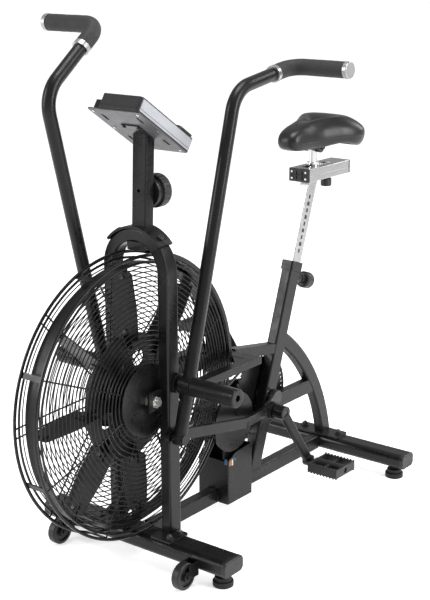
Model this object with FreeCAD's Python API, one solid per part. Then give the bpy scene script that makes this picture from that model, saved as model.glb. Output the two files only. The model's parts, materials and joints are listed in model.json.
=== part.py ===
import FreeCAD, Part
import math
import os

# Air bike: a fan exercise bike with moving handles, one STEP file per sub-part.
# Frame of the model, in millimetres: +Z is up, -Y is the fan end, +Y is the saddle end and
# +X is the rider's left. The origin is on the floor, under the middle of the whole bike.

V = FreeCAD.Vector
X_AXIS = V(1, 0, 0)
Y_AXIS = V(0, 1, 0)
Z_AXIS = V(0, 0, 1)

# Driving dimensions -------------------------------------------------------------------
FAN_Y = -276.5              # fan axle, from the middle of the bike
FAN_Z = 422.0               # fan axle above the floor
CAGE_RADIUS = 344.0         # outside of the cage rim
CAGE_RIM_X = 32.0           # plane of each rim ring
CAGE_HUB_X = 52.5           # plane of each innermost ring
HUB_RING_RADIUS = 84.0
RING_PITCH = 11.5
RING_COUNT = 22
SPOKE_BEND_RADIUS = HUB_RING_RADIUS + 11.5 * RING_PITCH
HOOP_RADIUS = 320.0         # outside of the fan's hoop
HOOP_WIDTH = 36.0
BLADE_COUNT = 8
BLADE_START = 2.9           # degrees, first blade from upright towards the fan end
HUB_DISC_RADIUS = 152.0
SCREW_RADII = (160.0, 294.0)    # blade screws, from the fan axle

UPRIGHT_X = 83.0            # middle of each upright of the arch
UPRIGHT_Y = -230.0
UPRIGHT_WIDE = 30.0
UPRIGHT_DEEP = 41.0
ARCH_Z = 722.0              # centre of the arch's bend

CRANK_Y = 270.5             # crank axle
CRANK_Z = 266.0
SHELL_RADIUS = 21.0         # bottom bracket shell, slimmer than the seat tube is deep
CRANK_THROW = 41.7          # eccentric pin that drives each handle
THROW_ANGLE = 33.5          # degrees below the level of the crank axle, on the fan side
PEDAL_RADIUS = 178.5
PEDAL_ANGLE = -77.1         # degrees of the left pedal from +Y towards +Z
PEDAL_X = 188.0

PIVOT_Y = -218.5            # handle pivot
PIVOT_Z = 457.0
HANDLE_X = 132.0
LEVER_ARM = 125.0           # pivot to link pin
LEFT_TILT = 15.3            # degrees, left handle's lean towards the saddle
LINK_EYE_X = 107.0
LINK_PIN_X = 50.0

JACK_Y = 74.5               # intermediate shaft
JACK_Z = 258.0
CRANK_CHAIN_X = -23.0       # plane of the crank chain
FAN_CHAIN_X = -60.0         # plane of the fan chain
CHAIN_PITCH = 12.7
CHAINRING_TEETH = 52
JACK_SMALL_TEETH = 16
JACK_LARGE_TEETH = 24
FAN_TEETH = 14

MAST_KNOB_Z = 897.0
MAST_LEAN = 0.047             # backward travel per unit of height

SEAT_Y = 326.2              # a point on the seat tube's middle line
SEAT_Z = 424.8
SEAT_LEAN = 19.26           # degrees, seat tube's lean towards the saddle end
SEAT_TUBE_TOP_Z = 615.0
RAIL_BOTTOM_Z = 829.0
RAIL_TOP_Z = 865.0
SADDLE_PIVOT_Y = 483.5
SADDLE_PIVOT_Z = 917.0
SADDLE_HOLLOW_TOP = 939.4

BASE_TOP_Z = 75.0
FOOT_HEIGHT = 35.0
FRONT_STABILIZER_Y = -254.5
REAR_STABILIZER_Y = 543.0
STABILIZER_HALF = 291.0
WHEEL_Y = -328.0
WHEEL_X = 200.0
WHEEL_RADIUS = 33.0
WHEEL_LIFT = 1.5

CONSOLE_TILT = 33.7         # degrees, console top towards the rider
CONSOLE_FRONT_Y = -294.5    # high front edge of the console's top face
CONSOLE_FRONT_Z = 1131.8
CONSOLE_LENGTH = 209.0
CONSOLE_THICK = 34.7
WALL = 2.5                  # wall of the steel tubes
RUN_GAP = 0.4               # clearance between turning pieces


def save(node, shape):
    """Writes one sub-part."""
    shape.exportStep(os.path.join("parts", node + ".step"))


def block(x0, x1, y0, y1, z0, z1):
    """A box between two corners."""
    return Part.makeBox(x1 - x0, y1 - y0, z1 - z0, V(x0, y0, z0))


def rod(start, direction, radius, length):
    """A round bar."""
    return Part.makeCylinder(radius, length, start, direction)


def pipe(start, direction, outer, inner, length):
    """A round tube or a ring."""
    return rod(start, direction, outer, length).cut(rod(start, direction, inner, length))


def rounded(x, y, z, radius, axis="Z"):
    """A block centred on the origin, with its edges along one axis rounded."""
    solid = Part.makeBox(x, y, z, V(-x / 2, -y / 2, -z / 2))
    direction = {"X": X_AXIS, "Y": Y_AXIS, "Z": Z_AXIS}[axis]
    edges = [e for e in solid.Edges
             if abs(abs((e.Vertexes[1].Point - e.Vertexes[0].Point).normalize().dot(direction)) - 1) < 1e-6]
    return solid.makeFillet(radius, edges)


def aligned(shape, origin, x_dir, z_dir):
    """Moves a shape so that its own X and Z point along two given directions."""
    z_unit = V(z_dir).normalize()
    y_unit = z_unit.cross(V(x_dir)).normalize()
    x_unit = y_unit.cross(z_unit)
    matrix = FreeCAD.Matrix(x_unit.x, y_unit.x, z_unit.x, origin.x,
                            x_unit.y, y_unit.y, z_unit.y, origin.y,
                            x_unit.z, y_unit.z, z_unit.z, origin.z,
                            0, 0, 0, 1)
    moved = shape.copy()
    moved.Placement = FreeCAD.Placement(matrix).multiply(moved.Placement)
    return moved


def beam(start, end, wide, deep, wall=WALL, radius=4.0, side=X_AXIS):
    """A rectangular tube between two points; wide lies along side. A wall of 0 is solid."""
    length = (end - start).Length
    solid = rounded(wide, deep, length, radius)
    if wall:
        inside = rounded(wide - 2 * wall, deep - 2 * wall, length + 2, max(radius - wall, 0.8))
        solid = solid.cut(inside)
    return aligned(solid, (start + end) * 0.5, side, end - start)


def mirrored(shape):
    """The same piece on the rider's right."""
    return shape.mirror(V(0, 0, 0), X_AXIS)


def group(shapes):
    """Separate solids that share one node."""
    return Part.makeCompound(list(shapes))


def fused(shapes):
    """One solid from several that touch."""
    shapes = list(shapes)
    return shapes[0].multiFuse(shapes[1:]).removeSplitter()


def around(y, z, radius, degrees, x=0.0):
    """A point on a circle about a shaft along X; 0 degrees is up and 90 is the fan end."""
    angle = math.radians(degrees)
    return V(x, y - radius * math.sin(angle), z + radius * math.cos(angle))


def spun(shape, y, z, degrees):
    """A copy turned about a shaft along X, from up towards the fan end."""
    copy = shape.copy()
    copy.rotate(V(0, y, z), X_AXIS, degrees)
    return copy


def seat_axis():
    """Unit vector up the seat tube."""
    lean = math.radians(SEAT_LEAN)
    return V(0, math.sin(lean), math.cos(lean))


def seat_back():
    """Unit vector from the seat tube out of its rear face."""
    lean = math.radians(SEAT_LEAN)
    return V(0, math.cos(lean), -math.sin(lean))


def seat_point(z, back=0.0):
    """A point on the seat tube's middle line at a height, moved out of its rear face."""
    return V(0, SEAT_Y + (z - SEAT_Z) * math.tan(math.radians(SEAT_LEAN)), z) + seat_back() * back


# Base ---------------------------------------------------------------------------------
def base_rail():
    start = V(0, FRONT_STABILIZER_Y + 37, (BASE_TOP_Z + 36) / 2)
    end = V(0, REAR_STABILIZER_Y - 31, (BASE_TOP_Z + 36) / 2)
    return beam(start, end, 30, BASE_TOP_Z - 36)


def wheel_bracket(side):
    """Two ears that hold a transport wheel in front of the stabilizer."""
    ears = []
    for offset in (-15.5, 12.5):
        ear = block(side * WHEEL_X + offset, side * WHEEL_X + offset + 3,
                    WHEEL_Y, FRONT_STABILIZER_Y - 36, 27, 62)
        nose = rod(V(side * WHEEL_X + offset, WHEEL_Y, WHEEL_RADIUS + WHEEL_LIFT), X_AXIS, 13, 3)
        lower = block(side * WHEEL_X + offset - 1, side * WHEEL_X + offset + 4,
                      WHEEL_Y - 20, WHEEL_Y + 4, 48, 70)
        ears.append(fused([ear.cut(lower), nose]))
    axle = rod(V(side * WHEEL_X - 19, WHEEL_Y, WHEEL_RADIUS + WHEEL_LIFT), X_AXIS, 5, 38)
    return fused(ears + [axle])


def front_stabilizer():
    half = STABILIZER_HALF - 9
    tube = beam(V(-half, FRONT_STABILIZER_Y, 55.5), V(half, FRONT_STABILIZER_Y, 55.5),
                41, 74, wall=WALL, radius=15, side=Z_AXIS)
    return fused([tube, wheel_bracket(1), wheel_bracket(-1)])


def rear_stabilizer():
    half = STABILIZER_HALF - 9
    tube = beam(V(-half, REAR_STABILIZER_Y, 55.5), V(half, REAR_STABILIZER_Y, 55.5),
                41, 62, wall=WALL, radius=15, side=Z_AXIS)
    plate = rounded(150, 58, 5, 8)
    plate.translate(V(0, REAR_STABILIZER_Y, 78.5))
    return fused([tube, plate])


def stabilizer_cap(y, deep):
    """A domed plastic plug that closes one stabilizer end."""
    cap = rounded(41, deep, 11, 14)
    outer = [e for e in cap.Edges if e.CenterOfMass.z > 5.4]
    cap = cap.makeFillet(4, outer)
    return aligned(cap, V(STABILIZER_HALF - 3.5, y, 55.5), Z_AXIS, X_AXIS)


def stabilizer_caps():
    front = stabilizer_cap(FRONT_STABILIZER_Y, 74)
    rear = stabilizer_cap(REAR_STABILIZER_Y, 62)
    return group([front, mirrored(front), rear, mirrored(rear)])


def foot(x, y):
    """A stepped rubber foot."""
    pad = rod(V(x, y, 0), Z_AXIS, 25, 14)
    pad = pad.makeFillet(2, [pad.Edges[0], pad.Edges[2]])
    upper = rod(V(x, y, 13), Z_AXIS, 20, 11)
    stem = rod(V(x, y, 23), Z_AXIS, 9, FOOT_HEIGHT - 23)
    return fused([pad, upper, stem])


def feet():
    return group([foot(x, y) for x, y in ((260, FRONT_STABILIZER_Y), (-260, FRONT_STABILIZER_Y),
                                          (250, REAR_STABILIZER_Y), (-250, REAR_STABILIZER_Y))])


def wheel(side):
    """A transport wheel with a waisted hub."""
    centre = V(side * WHEEL_X, WHEEL_Y, WHEEL_RADIUS + WHEEL_LIFT)
    start = centre - X_AXIS * 11
    tyre = rod(start, X_AXIS, WHEEL_RADIUS, 22)
    tyre = tyre.makeFillet(4, [tyre.Edges[0], tyre.Edges[2]])
    for face in (start, centre + X_AXIS * 7):
        tyre = tyre.cut(pipe(face, X_AXIS, 24, 12, 4))
    return tyre.cut(rod(start, X_AXIS, 5 + RUN_GAP, 22))


# Main frame ---------------------------------------------------------------------------
def arch_run(wide, deep, radius, foot_z):
    """The inverted U that the two uprights and the bend make, as a solid bar."""
    profile = rounded(wide, deep, 10, radius)
    straight = ARCH_Z - foot_z
    leg = rounded(wide, deep, straight, radius)
    leg.translate(V(UPRIGHT_X, UPRIGHT_Y, foot_z + straight / 2))
    section = [f for f in profile.Faces if f.CenterOfMass.z > 4.9][0]
    section.translate(V(UPRIGHT_X, UPRIGHT_Y, ARCH_Z - 5))
    bend = section.revolve(V(0, UPRIGHT_Y, ARCH_Z), V(0, -1, 0), 180)
    return fused([leg, mirrored(leg), bend])


def fan_arch():
    foot_z = BASE_TOP_Z + 6
    outer = arch_run(UPRIGHT_WIDE, UPRIGHT_DEEP, 5, foot_z)
    inner = arch_run(UPRIGHT_WIDE - 2 * WALL, UPRIGHT_DEEP - 2 * WALL, 2.5, foot_z - 1)
    pieces = [outer.cut(inner)]
    foot_plate = rounded(66, 68, 5, 6)
    foot_plate.translate(V(UPRIGHT_X + 12, FRONT_STABILIZER_Y + 1, foot_z - 2.5))
    dropout = block(70, 76, FAN_Y - 17, UPRIGHT_Y - UPRIGHT_DEEP / 2 + 1, FAN_Z - 24, FAN_Z + 24)
    dropout = dropout.cut(rod(V(69, FAN_Y, FAN_Z), X_AXIS, 8.6, 8))
    for piece in (foot_plate, dropout):
        pieces += [piece, mirrored(piece)]
    hanger = block(-24, 24, UPRIGHT_Y - 16, UPRIGHT_Y + 16, ARCH_Z + 46, ARCH_Z + 66)
    return fused(pieces + [hanger])


def mast():
    """Upright for the console, on a curved plate that sits on the arch."""
    front = UPRIGHT_Y - 25
    arch_top = UPRIGHT_X + UPRIGHT_WIDE / 2
    saddle = pipe(V(0, front, ARCH_Z), Y_AXIS, arch_top + 6, arch_top, 50)
    wedge = Part.Face(Part.makePolygon([V(0, front, ARCH_Z), V(-130, front, ARCH_Z + 108),
                                        V(-130, front, ARCH_Z + 160), V(130, front, ARCH_Z + 160),
                                        V(130, front, ARCH_Z + 108), V(0, front, ARCH_Z)]))
    saddle = saddle.common(wedge.extrude(Y_AXIS * 50))
    lower = V(0, UPRIGHT_Y + 12.5 - 0.8, ARCH_Z + 90)
    upper = V(0, UPRIGHT_Y + 22.5 + 1.5, 1060)
    tube = beam(lower, upper, 43, 30, radius=4)
    tube = tube.cut(rod(V(0, front, ARCH_Z), Y_AXIS, arch_top + 0.5, 60))
    tube = tube.cut(rod(V(0, UPRIGHT_Y - 20, 905), Y_AXIS, 4, 30))
    tube = tube.cut(console_block(-100, 100, -30, CONSOLE_LENGTH + 30, -3.0, 300))
    stud = rod(V(0, mast_back() - 3, MAST_KNOB_Z), Y_AXIS, 5, 36)
    return fused([saddle, tube, stud])


def mast_back():
    """The mast's rear face at the height of its knob."""
    return UPRIGHT_Y + 12.5 + 15 + (MAST_KNOB_Z - 812) * MAST_LEAN


def side_yoke():
    """Two arms from the uprights and the bar that joins them behind the fan."""
    start = UPRIGHT_Y + UPRIGHT_DEEP / 2
    arm = beam(V(UPRIGHT_X, start, 424), V(UPRIGHT_X, 117.5, 424), 30, 20, radius=3)
    bar = beam(V(-UPRIGHT_X, 97.5, 424), V(UPRIGHT_X, 97.5, 424), 20, 40, radius=3, side=Z_AXIS)
    gusset = Part.Face(Part.makePolygon([V(70, 40, 434), V(70, 79, 434), V(34, 79, 434), V(70, 40, 434)]))
    gusset = gusset.extrude(V(0, 0, -4))
    gusset.translate(V(0, 0, -1))
    return fused([arm, mirrored(arm), bar, gusset, mirrored(gusset)])


def seat_tube_envelope():
    """The seat tube's outside, used to trim what is welded to it."""
    return beam(seat_point(BASE_TOP_Z - 30), seat_point(SEAT_TUBE_TOP_Z), 32, 46, wall=0, radius=5)


def seat_tube():
    """Seat tube with the plastic-lined collar at its mouth."""
    tube = seat_tube_envelope()
    collar = beam(seat_point(SEAT_TUBE_TOP_Z) - seat_axis() * 26, seat_point(SEAT_TUBE_TOP_Z),
                  38, 52, wall=0, radius=6)
    tube = tube.fuse(collar).removeSplitter()
    bore = beam(seat_point(BASE_TOP_Z - 40), seat_point(SEAT_TUBE_TOP_Z + 5), 28.4, 39, wall=0, radius=2.4)
    tube = tube.cut(bore)
    tube = tube.cut(block(-40, 40, 0, 400, 0, BASE_TOP_Z))
    tube = tube.cut(rod(V(-40, CRANK_Y, CRANK_Z), X_AXIS, SHELL_RADIUS, 80))
    boss = rod(pin_origin(22), seat_back(), 11, 26)
    tube = tube.fuse(boss)
    tube = tube.cut(rod(pin_origin(15), seat_back(), 6 + 0.15, 50))
    return tube.removeSplitter()


def pin_origin(back):
    """A point on the pull pin's axis, at a distance behind the seat tube's middle."""
    return V(0, SEAT_Y, SEAT_Z) + seat_axis() * 160.3 + seat_back() * back


def upper_tube():
    tube = beam(V(0, 105, 425.5), V(0, 320, 389.5), 30, 28, radius=3)
    tube = tube.cut(block(-60, 60, 80, 117.5, 380, 480))
    return trimmed(tube, 0)


def trimmed(tube, keep_end):
    """Cuts a member to the seat tube and keeps its first or last piece along Y."""
    rest = tube.cut(seat_tube_envelope())
    solids = sorted(rest.Solids, key=lambda s: s.CenterOfMass.y)
    return solids[keep_end]


ARC_Y = 37.5                # centre of the rear arc's curve
ARC_Z = -20.0
ARC_RADIUS = 524.0


def arc_solid(wide, deep, radius):
    """The rear arc's tube as a solid bar, from inside the seat tube down to its foot plate."""
    section = rounded(wide, deep, 10, radius)
    face = [f for f in section.Faces if f.CenterOfMass.z > 4.9][0]
    face.translate(V(0, 0, -5))
    face.translate(V(0, ARC_Y + ARC_RADIUS, ARC_Z))
    bar = face.revolve(V(0, ARC_Y, ARC_Z), X_AXIS, 60)
    return bar.cut(block(-60, 60, 0, 800, -100, 81))


def rear_arc():
    """Curved strut from the seat tube to the rear stabilizer, with its level brace."""
    behind = aligned(block(-60, 60, 23, 700, -700, 700), seat_point(SEAT_Z), X_AXIS, seat_axis())
    arc = arc_solid(29, 40, 5).common(behind)
    brace = beam(V(0, 250, 238), V(0, 495, 238), 27, 40, radius=4)
    brace = brace.common(rod(V(-40, ARC_Y, ARC_Z), X_AXIS, ARC_RADIUS - 19, 80))
    brace = brace.common(behind)
    brace = brace.cut(rod(V(-40, CRANK_Y, CRANK_Z), X_AXIS, SHELL_RADIUS, 80))
    arc = arc.cut(arc_solid(29 - 2 * WALL, 40 - 2 * WALL, 2.5))
    return fused([arc, sorted(brace.Solids, key=lambda s: -s.Volume)[0]])


def bottom_bracket_shell():
    return pipe(V(-18.5, CRANK_Y, CRANK_Z), X_AXIS, SHELL_RADIUS, SHELL_RADIUS - 3, 48.5)


def bearings():
    """Crank, jackshaft and fan bearings, each one ring."""
    rings = [pipe(V(x, CRANK_Y, CRANK_Z), X_AXIS, SHELL_RADIUS - 3, 12.6, 10) for x in (-18.5, 20)]
    rings += [pipe(V(x, JACK_Y, JACK_Z), X_AXIS, 14, 10.1, 6) for x in (-33, 27)]
    return group(rings)


# Fan cage -----------------------------------------------------------------------------
def dome_x(radius):
    """How far out the cage's wires stand at a radius: a shallow spherical cap."""
    rim = CAGE_RADIUS - 4
    centre = ((CAGE_RIM_X ** 2 + rim ** 2) - (CAGE_HUB_X ** 2 + HUB_RING_RADIUS ** 2)) \
        / (2 * (CAGE_RIM_X - CAGE_HUB_X))
    ball = math.hypot(CAGE_HUB_X - centre, HUB_RING_RADIUS)
    return centre + math.sqrt(ball ** 2 - radius ** 2)


def ring(radius, x, wire):
    """An eight-sided wire ring about the fan axle."""
    corners = [V(x + wire * math.cos(math.radians(22.5 + 45 * i)), FAN_Y,
                 FAN_Z + radius + wire * math.sin(math.radians(22.5 + 45 * i))) for i in range(8)]
    section = Part.Face(Part.makePolygon(corners + [corners[0]]))
    return section.revolve(V(x, FAN_Y, FAN_Z), X_AXIS, 360)


def spoke(degrees, offset=0.0, side=1):
    """A wire from the hub ring to the rim, under the rings, in two straight runs."""
    radii = (HUB_RING_RADIUS - 1, SPOKE_BEND_RADIUS, CAGE_RADIUS - 4)
    points = [V(side * (dome_x(r) - 2.2), 0, r) for r in radii]
    points[2].x = side * (CAGE_RIM_X - 1.0)
    runs = []
    for start, end in zip(points, points[1:]):
        run = Part.makeCylinder(2.0, (end - start).Length)
        runs.append(aligned(run, start, X_AXIS * -side, end - start))
    runs.append(Part.makeSphere(2.0, points[1]))
    wire = fused(runs)
    wire.translate(V(0, FAN_Y + offset, FAN_Z))
    return spun(wire, FAN_Y, FAN_Z, degrees)


def cage_half(side, spoke_list):
    """Rim, concentric rings and spokes of one side, welded into one guard."""
    pieces = [ring(CAGE_RADIUS - 4, side * CAGE_RIM_X, 4.0)]
    for index in range(RING_COUNT):
        radius = HUB_RING_RADIUS + index * RING_PITCH
        wire = 3.0 if index == RING_COUNT - 1 else 1.5
        pieces.append(ring(radius, side * dome_x(radius), wire))
    for degrees, offset in spoke_list:
        pieces.append(spoke(degrees, offset, side))
    return pieces


def cage_left():
    spokes = [(22.5 + 45 * i, 0) for i in range(8)]
    return fused(cage_half(1, spokes))


def cage_right():
    """The far guard also carries the strips that hold the two rims together."""
    spokes = [(45 * i, offset) for i in range(8) for offset in (-11, 11)]
    pieces = cage_half(-1, spokes)
    for index in range(8):
        strip = block(-CAGE_RIM_X + 1, CAGE_RIM_X - 4.3, FAN_Y - 7, FAN_Y + 7,
                      FAN_Z + CAGE_RADIUS - 8.5, FAN_Z + CAGE_RADIUS - 5.5)
        pieces.append(spun(strip, FAN_Y, FAN_Z, 22.5 + 45 * index))
    return fused(pieces)


def rear_shield():
    """Solid band over the upper rear quarter of the cage."""
    shield = pipe(V(-38, FAN_Y, FAN_Z), X_AXIS, 348.5, 346, 76)
    clip = Part.Face(Part.makePolygon([V(0, FAN_Y, FAN_Z), around(FAN_Y, FAN_Z, 600, -17),
                                       around(FAN_Y, FAN_Z, 600, -55), around(FAN_Y, FAN_Z, 600, -97),
                                       V(0, FAN_Y, FAN_Z)]))
    clip.translate(V(-50, 0, 0))
    shield = shield.common(clip.extrude(X_AXIS * 100))
    flanges = []
    for x in (-38, 36):
        flange = pipe(V(x, FAN_Y, FAN_Z), X_AXIS, 348.5, 338, 2)
        flanges.append(flange.common(clip.extrude(X_AXIS * 100)))
    return fused([shield] + flanges)


def hub_cover(side, bore):
    """A pressed disc that closes the middle of one guard."""
    x = side * 54.2
    disc = rod(V(x, FAN_Y, FAN_Z), X_AXIS * side, 88, 1.8)
    dish = rod(V(x, FAN_Y, FAN_Z), X_AXIS * side, 60, 2.2)
    cover = fused([disc, dish])
    return cover.cut(rod(V(x - side, FAN_Y, FAN_Z), X_AXIS * side, bore, 8))


def hub_covers():
    return group([hub_cover(1, 8.6), hub_cover(-1, 21)])


def fan_axle():
    """Fixed axle with a nut each side, inboard and outboard of the frame plate."""
    axle = rod(V(-92, FAN_Y, FAN_Z), X_AXIS, 8.5, 184)
    nuts = []
    for x, thick in ((57.5, 9), (76.2, 9)):
        nut = Part.Face(Part.makePolygon([around(FAN_Y, FAN_Z, 15, 60 * i, x) for i in range(7)]))
        nuts.append(nut.extrude(X_AXIS * thick))
    outer_right = mirrored(nuts[1])
    return fused([axle] + nuts + [outer_right])


# Fan ----------------------------------------------------------------------------------
def fan_tabs(inner, outer, half, screw_radius):
    """Eight folded tabs that the blades are screwed to."""
    tabs = []
    for index in range(BLADE_COUNT):
        tab = block(-half, half, FAN_Y + 1.6, FAN_Y + 4.6, FAN_Z + inner, FAN_Z + outer)
        hole = rod(V(0, FAN_Y, FAN_Z + screw_radius), Y_AXIS, 3.2, 6)
        tabs.append(spun(tab.cut(hole), FAN_Y, FAN_Z, BLADE_START + 45 * index))
    return tabs


def fan_hub():
    """Spider disc with its bearing sleeve; the sleeve carries the sprocket on the right."""
    disc = rod(V(-2, FAN_Y, FAN_Z), X_AXIS, HUB_DISC_RADIUS, 4)
    for index in range(BLADE_COUNT):
        window = rod(around(FAN_Y, FAN_Z, 92, 22.5 + BLADE_START + 45 * index, -5), X_AXIS, 20, 10)
        disc = disc.cut(window)
    sleeve = rod(V(-64, FAN_Y, FAN_Z), X_AXIS, 18, 108)
    boss = rod(V(-30, FAN_Y, FAN_Z), X_AXIS, 34, 60)
    hub = fused([disc, sleeve, boss] + fan_tabs(118, 174, 15, SCREW_RADII[0]))
    return hub.cut(rod(V(-70, FAN_Y, FAN_Z), X_AXIS, 8.5 + 0.1, 140))


def fan_blades():
    """Flat paddles, a little narrower at the hoop where the cage closes in."""
    blades = []
    outline = [(38, 140), (38, 225), (28.5, 306), (-28.5, 306), (-38, 225), (-38, 140), (38, 140)]
    for index in range(BLADE_COUNT):
        face = Part.Face(Part.makePolygon([V(x, FAN_Y - 1.5, FAN_Z + r) for x, r in outline]))
        blade = face.extrude(Y_AXIS * 3)
        corners = [e for e in blade.Edges
                   if abs(e.Length - 3) < 1e-6 and abs(e.CenterOfMass.z - FAN_Z - 225) > 1]
        blade = blade.makeFillet(7, corners)
        for radius in SCREW_RADII:
            blade = blade.cut(rod(V(0, FAN_Y - 4, FAN_Z + radius), Y_AXIS, 3.2, 8))
        blade = blade.cut(block(-2.2, 2.2, FAN_Y - 2, FAN_Y + 2,
                                FAN_Z + 130, FAN_Z + HUB_DISC_RADIUS + 0.5))
        blades.append(spun(blade, FAN_Y, FAN_Z, BLADE_START + 45 * index))
    return group(blades)


def fan_hoop():
    band = pipe(V(-HOOP_WIDTH / 2, FAN_Y, FAN_Z), X_AXIS, HOOP_RADIUS, HOOP_RADIUS - 2.5, HOOP_WIDTH)
    return fused([band] + fan_tabs(280, HOOP_RADIUS - 1.5, 13, SCREW_RADII[1]))


def fan_screws():
    """Screw and nut through each end of each blade."""
    screws = []
    for index in range(BLADE_COUNT):
        for radius in SCREW_RADII:
            head = rod(V(0, FAN_Y - 4.7, FAN_Z + radius), Y_AXIS, 6, 3.1)
            shank = rod(V(0, FAN_Y - 4.7, FAN_Z + radius), Y_AXIS, 3, 13)
            nut = rod(V(0, FAN_Y + 4.7, FAN_Z + radius), Y_AXIS, 5.5, 3.5)
            screws.append(spun(fused([head, shank, nut]), FAN_Y, FAN_Z, BLADE_START + 45 * index))
    return group(screws)


# Drive --------------------------------------------------------------------------------
def pitch_radius(teeth):
    return CHAIN_PITCH / (2 * math.sin(math.pi / teeth))


def sprocket(x, y, z, teeth, bore, thick=3.0):
    """A chain wheel with round-bottomed gaps between its teeth."""
    radius = pitch_radius(teeth)
    wheel_disc = rod(V(x - thick / 2, y, z), X_AXIS, radius + 3.2, thick)
    gaps = [rod(around(y, z, radius, 360 * (i + 0.5) / teeth, x - thick), X_AXIS, 4.1, 2 * thick)
            for i in range(teeth)]
    wheel_disc = wheel_disc.cut(group(gaps))
    return wheel_disc.cut(rod(V(x - thick, y, z), X_AXIS, bore, 2 * thick))


def chain_loop(x, y0, z0, teeth0, y1, z1, teeth1, wide):
    """A chain as a closed band, just outside the tips of both wheels' teeth."""
    r0 = pitch_radius(teeth0) + 3.6
    r1 = pitch_radius(teeth1) + 3.6
    outline = []
    for grow in (4.0, 0.0):
        a0, a1 = r0 + grow, r1 + grow
        dy, dz = y1 - y0, z1 - z0
        span = math.hypot(dy, dz)
        line = math.atan2(dz, dy)
        tilt = math.acos((a0 - a1) / span)
        points = []
        for sign in (1, -1):
            angle = line + sign * tilt
            points.append(V(x, y0 + a0 * math.cos(angle), z0 + a0 * math.sin(angle)))
            points.append(V(x, y1 + a1 * math.cos(angle), z1 + a1 * math.sin(angle)))
        top0, top1, low0, low1 = points
        far0 = V(x, y0 - a0 * math.cos(line), z0 - a0 * math.sin(line))
        far1 = V(x, y1 + a1 * math.cos(line), z1 + a1 * math.sin(line))
        edges = [Part.LineSegment(top0, top1).toShape(), Part.Arc(top1, far1, low1).toShape(),
                 Part.LineSegment(low1, low0).toShape(), Part.Arc(low0, far0, top0).toShape()]
        outline.append(Part.Face(Part.Wire(edges)).extrude(X_AXIS * wide))
    band = outline[0].cut(outline[1])
    band.translate(V(-wide / 2, 0, 0))
    return band


def drive_chains():
    first = chain_loop(CRANK_CHAIN_X, CRANK_Y, CRANK_Z, CHAINRING_TEETH,
                       JACK_Y, JACK_Z, JACK_SMALL_TEETH, 6)
    second = chain_loop(FAN_CHAIN_X, JACK_Y, JACK_Z, JACK_LARGE_TEETH, FAN_Y, FAN_Z, FAN_TEETH, 6)
    return group([first, second])


def fan_sprocket():
    wheel_disc = sprocket(FAN_CHAIN_X, FAN_Y, FAN_Z, FAN_TEETH, 18)
    return wheel_disc


def jackshaft():
    """Shaft between the two chains, with a wheel for each."""
    shaft = rod(V(-66, JACK_Y, JACK_Z), X_AXIS, 10, 101)
    small = sprocket(CRANK_CHAIN_X, JACK_Y, JACK_Z, JACK_SMALL_TEETH, 9)
    large = sprocket(FAN_CHAIN_X, JACK_Y, JACK_Z, JACK_LARGE_TEETH, 9)
    collar = rod(V(-66, JACK_Y, JACK_Z), X_AXIS, 17, 4.5)
    return fused([shaft, small, large, collar])


def jackshaft_bracket():
    """U bracket on the base rail that carries the intermediate shaft."""
    floor = block(-33, 33, JACK_Y - 30, JACK_Y + 30, BASE_TOP_Z, BASE_TOP_Z + 5)
    cheek = block(27, 33, JACK_Y - 30, JACK_Y + 30, BASE_TOP_Z, JACK_Z)
    top = rod(V(27, JACK_Y, JACK_Z), X_AXIS, 30, 6)
    cheek = fused([cheek, top]).cut(rod(V(20, JACK_Y, JACK_Z), X_AXIS, 14, 20))
    return fused([floor, cheek, mirrored(cheek)])


def drive_cover():
    """Bent sheet box round the foot of the drive, and the round cover above it."""
    y0, y1 = 39.5, 142.5
    side_outline = [V(-48, y0, 38), V(-48, y1, 38), V(-48, y1, 180), V(-48, y0 + 30, 174), V(-48, y0, 156),
                    V(-48, y0, 38)]
    outer = Part.Face(Part.makePolygon(side_outline)).extrude(X_AXIS * 96)
    inner = block(-46, 46, y0 + 2, y1 - 2, 0, 300)
    box = outer.cut(inner)
    box = box.cut(block(-16, 16, y0 - 5, y1 + 5, 0, BASE_TOP_Z + 1))
    split = block(47, 60, y0 + 3, y0 + 5, 46, 150)
    box = box.cut(split)
    box = fused([box, block(-47, -15.2, 60, 66, 44, 60), block(15.2, 47, 60, 66, 44, 60)])
    disc = rod(V(39.5, JACK_Y, JACK_Z), X_AXIS, 80, 3)
    lip = pipe(V(37.6, JACK_Y, JACK_Z), X_AXIS, 80, 77.5, 3)
    posts = [rod(around(JACK_Y, JACK_Z, 24, a, 33.0), X_AXIS, 4, 7) for a in (45, 135, 225, 315)]
    return group([box, fused([disc, lip] + posts)])


def crank_pin(side):
    """Centre of one eccentric pin."""
    angle = math.radians(THROW_ANGLE)
    return V(side * LINK_PIN_X, CRANK_Y - side * CRANK_THROW * math.cos(angle),
             CRANK_Z - side * CRANK_THROW * math.sin(angle))


def pedal_centre(side):
    angle = math.radians(PEDAL_ANGLE)
    return V(side * PEDAL_X, CRANK_Y + side * PEDAL_RADIUS * math.cos(angle),
             CRANK_Z + side * PEDAL_RADIUS * math.sin(angle))


def crankshaft():
    """Spindle, and on each side a web that carries the eccentric pin."""
    pieces = [rod(V(-40, CRANK_Y, CRANK_Z), X_AXIS, 12.5, 80)]
    for side in (1, -1):
        pin = crank_pin(side)
        hub = V(side * 30.5, CRANK_Y, CRANK_Z)
        end = V(side * 30.5, pin.y, pin.z)
        pieces.append(rod(hub, X_AXIS * side, 20, 9.5))
        pieces.append(rod(end, X_AXIS * side, 18, 9.5))
        web = beam(hub, end, 9.5, 34, wall=0, radius=1)
        web.translate(V(side * 4.75, 0, 0))
        pieces.append(web)
        pieces.append(rod(end, X_AXIS * side, 9, 60.5))
    return fused(pieces)


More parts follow.
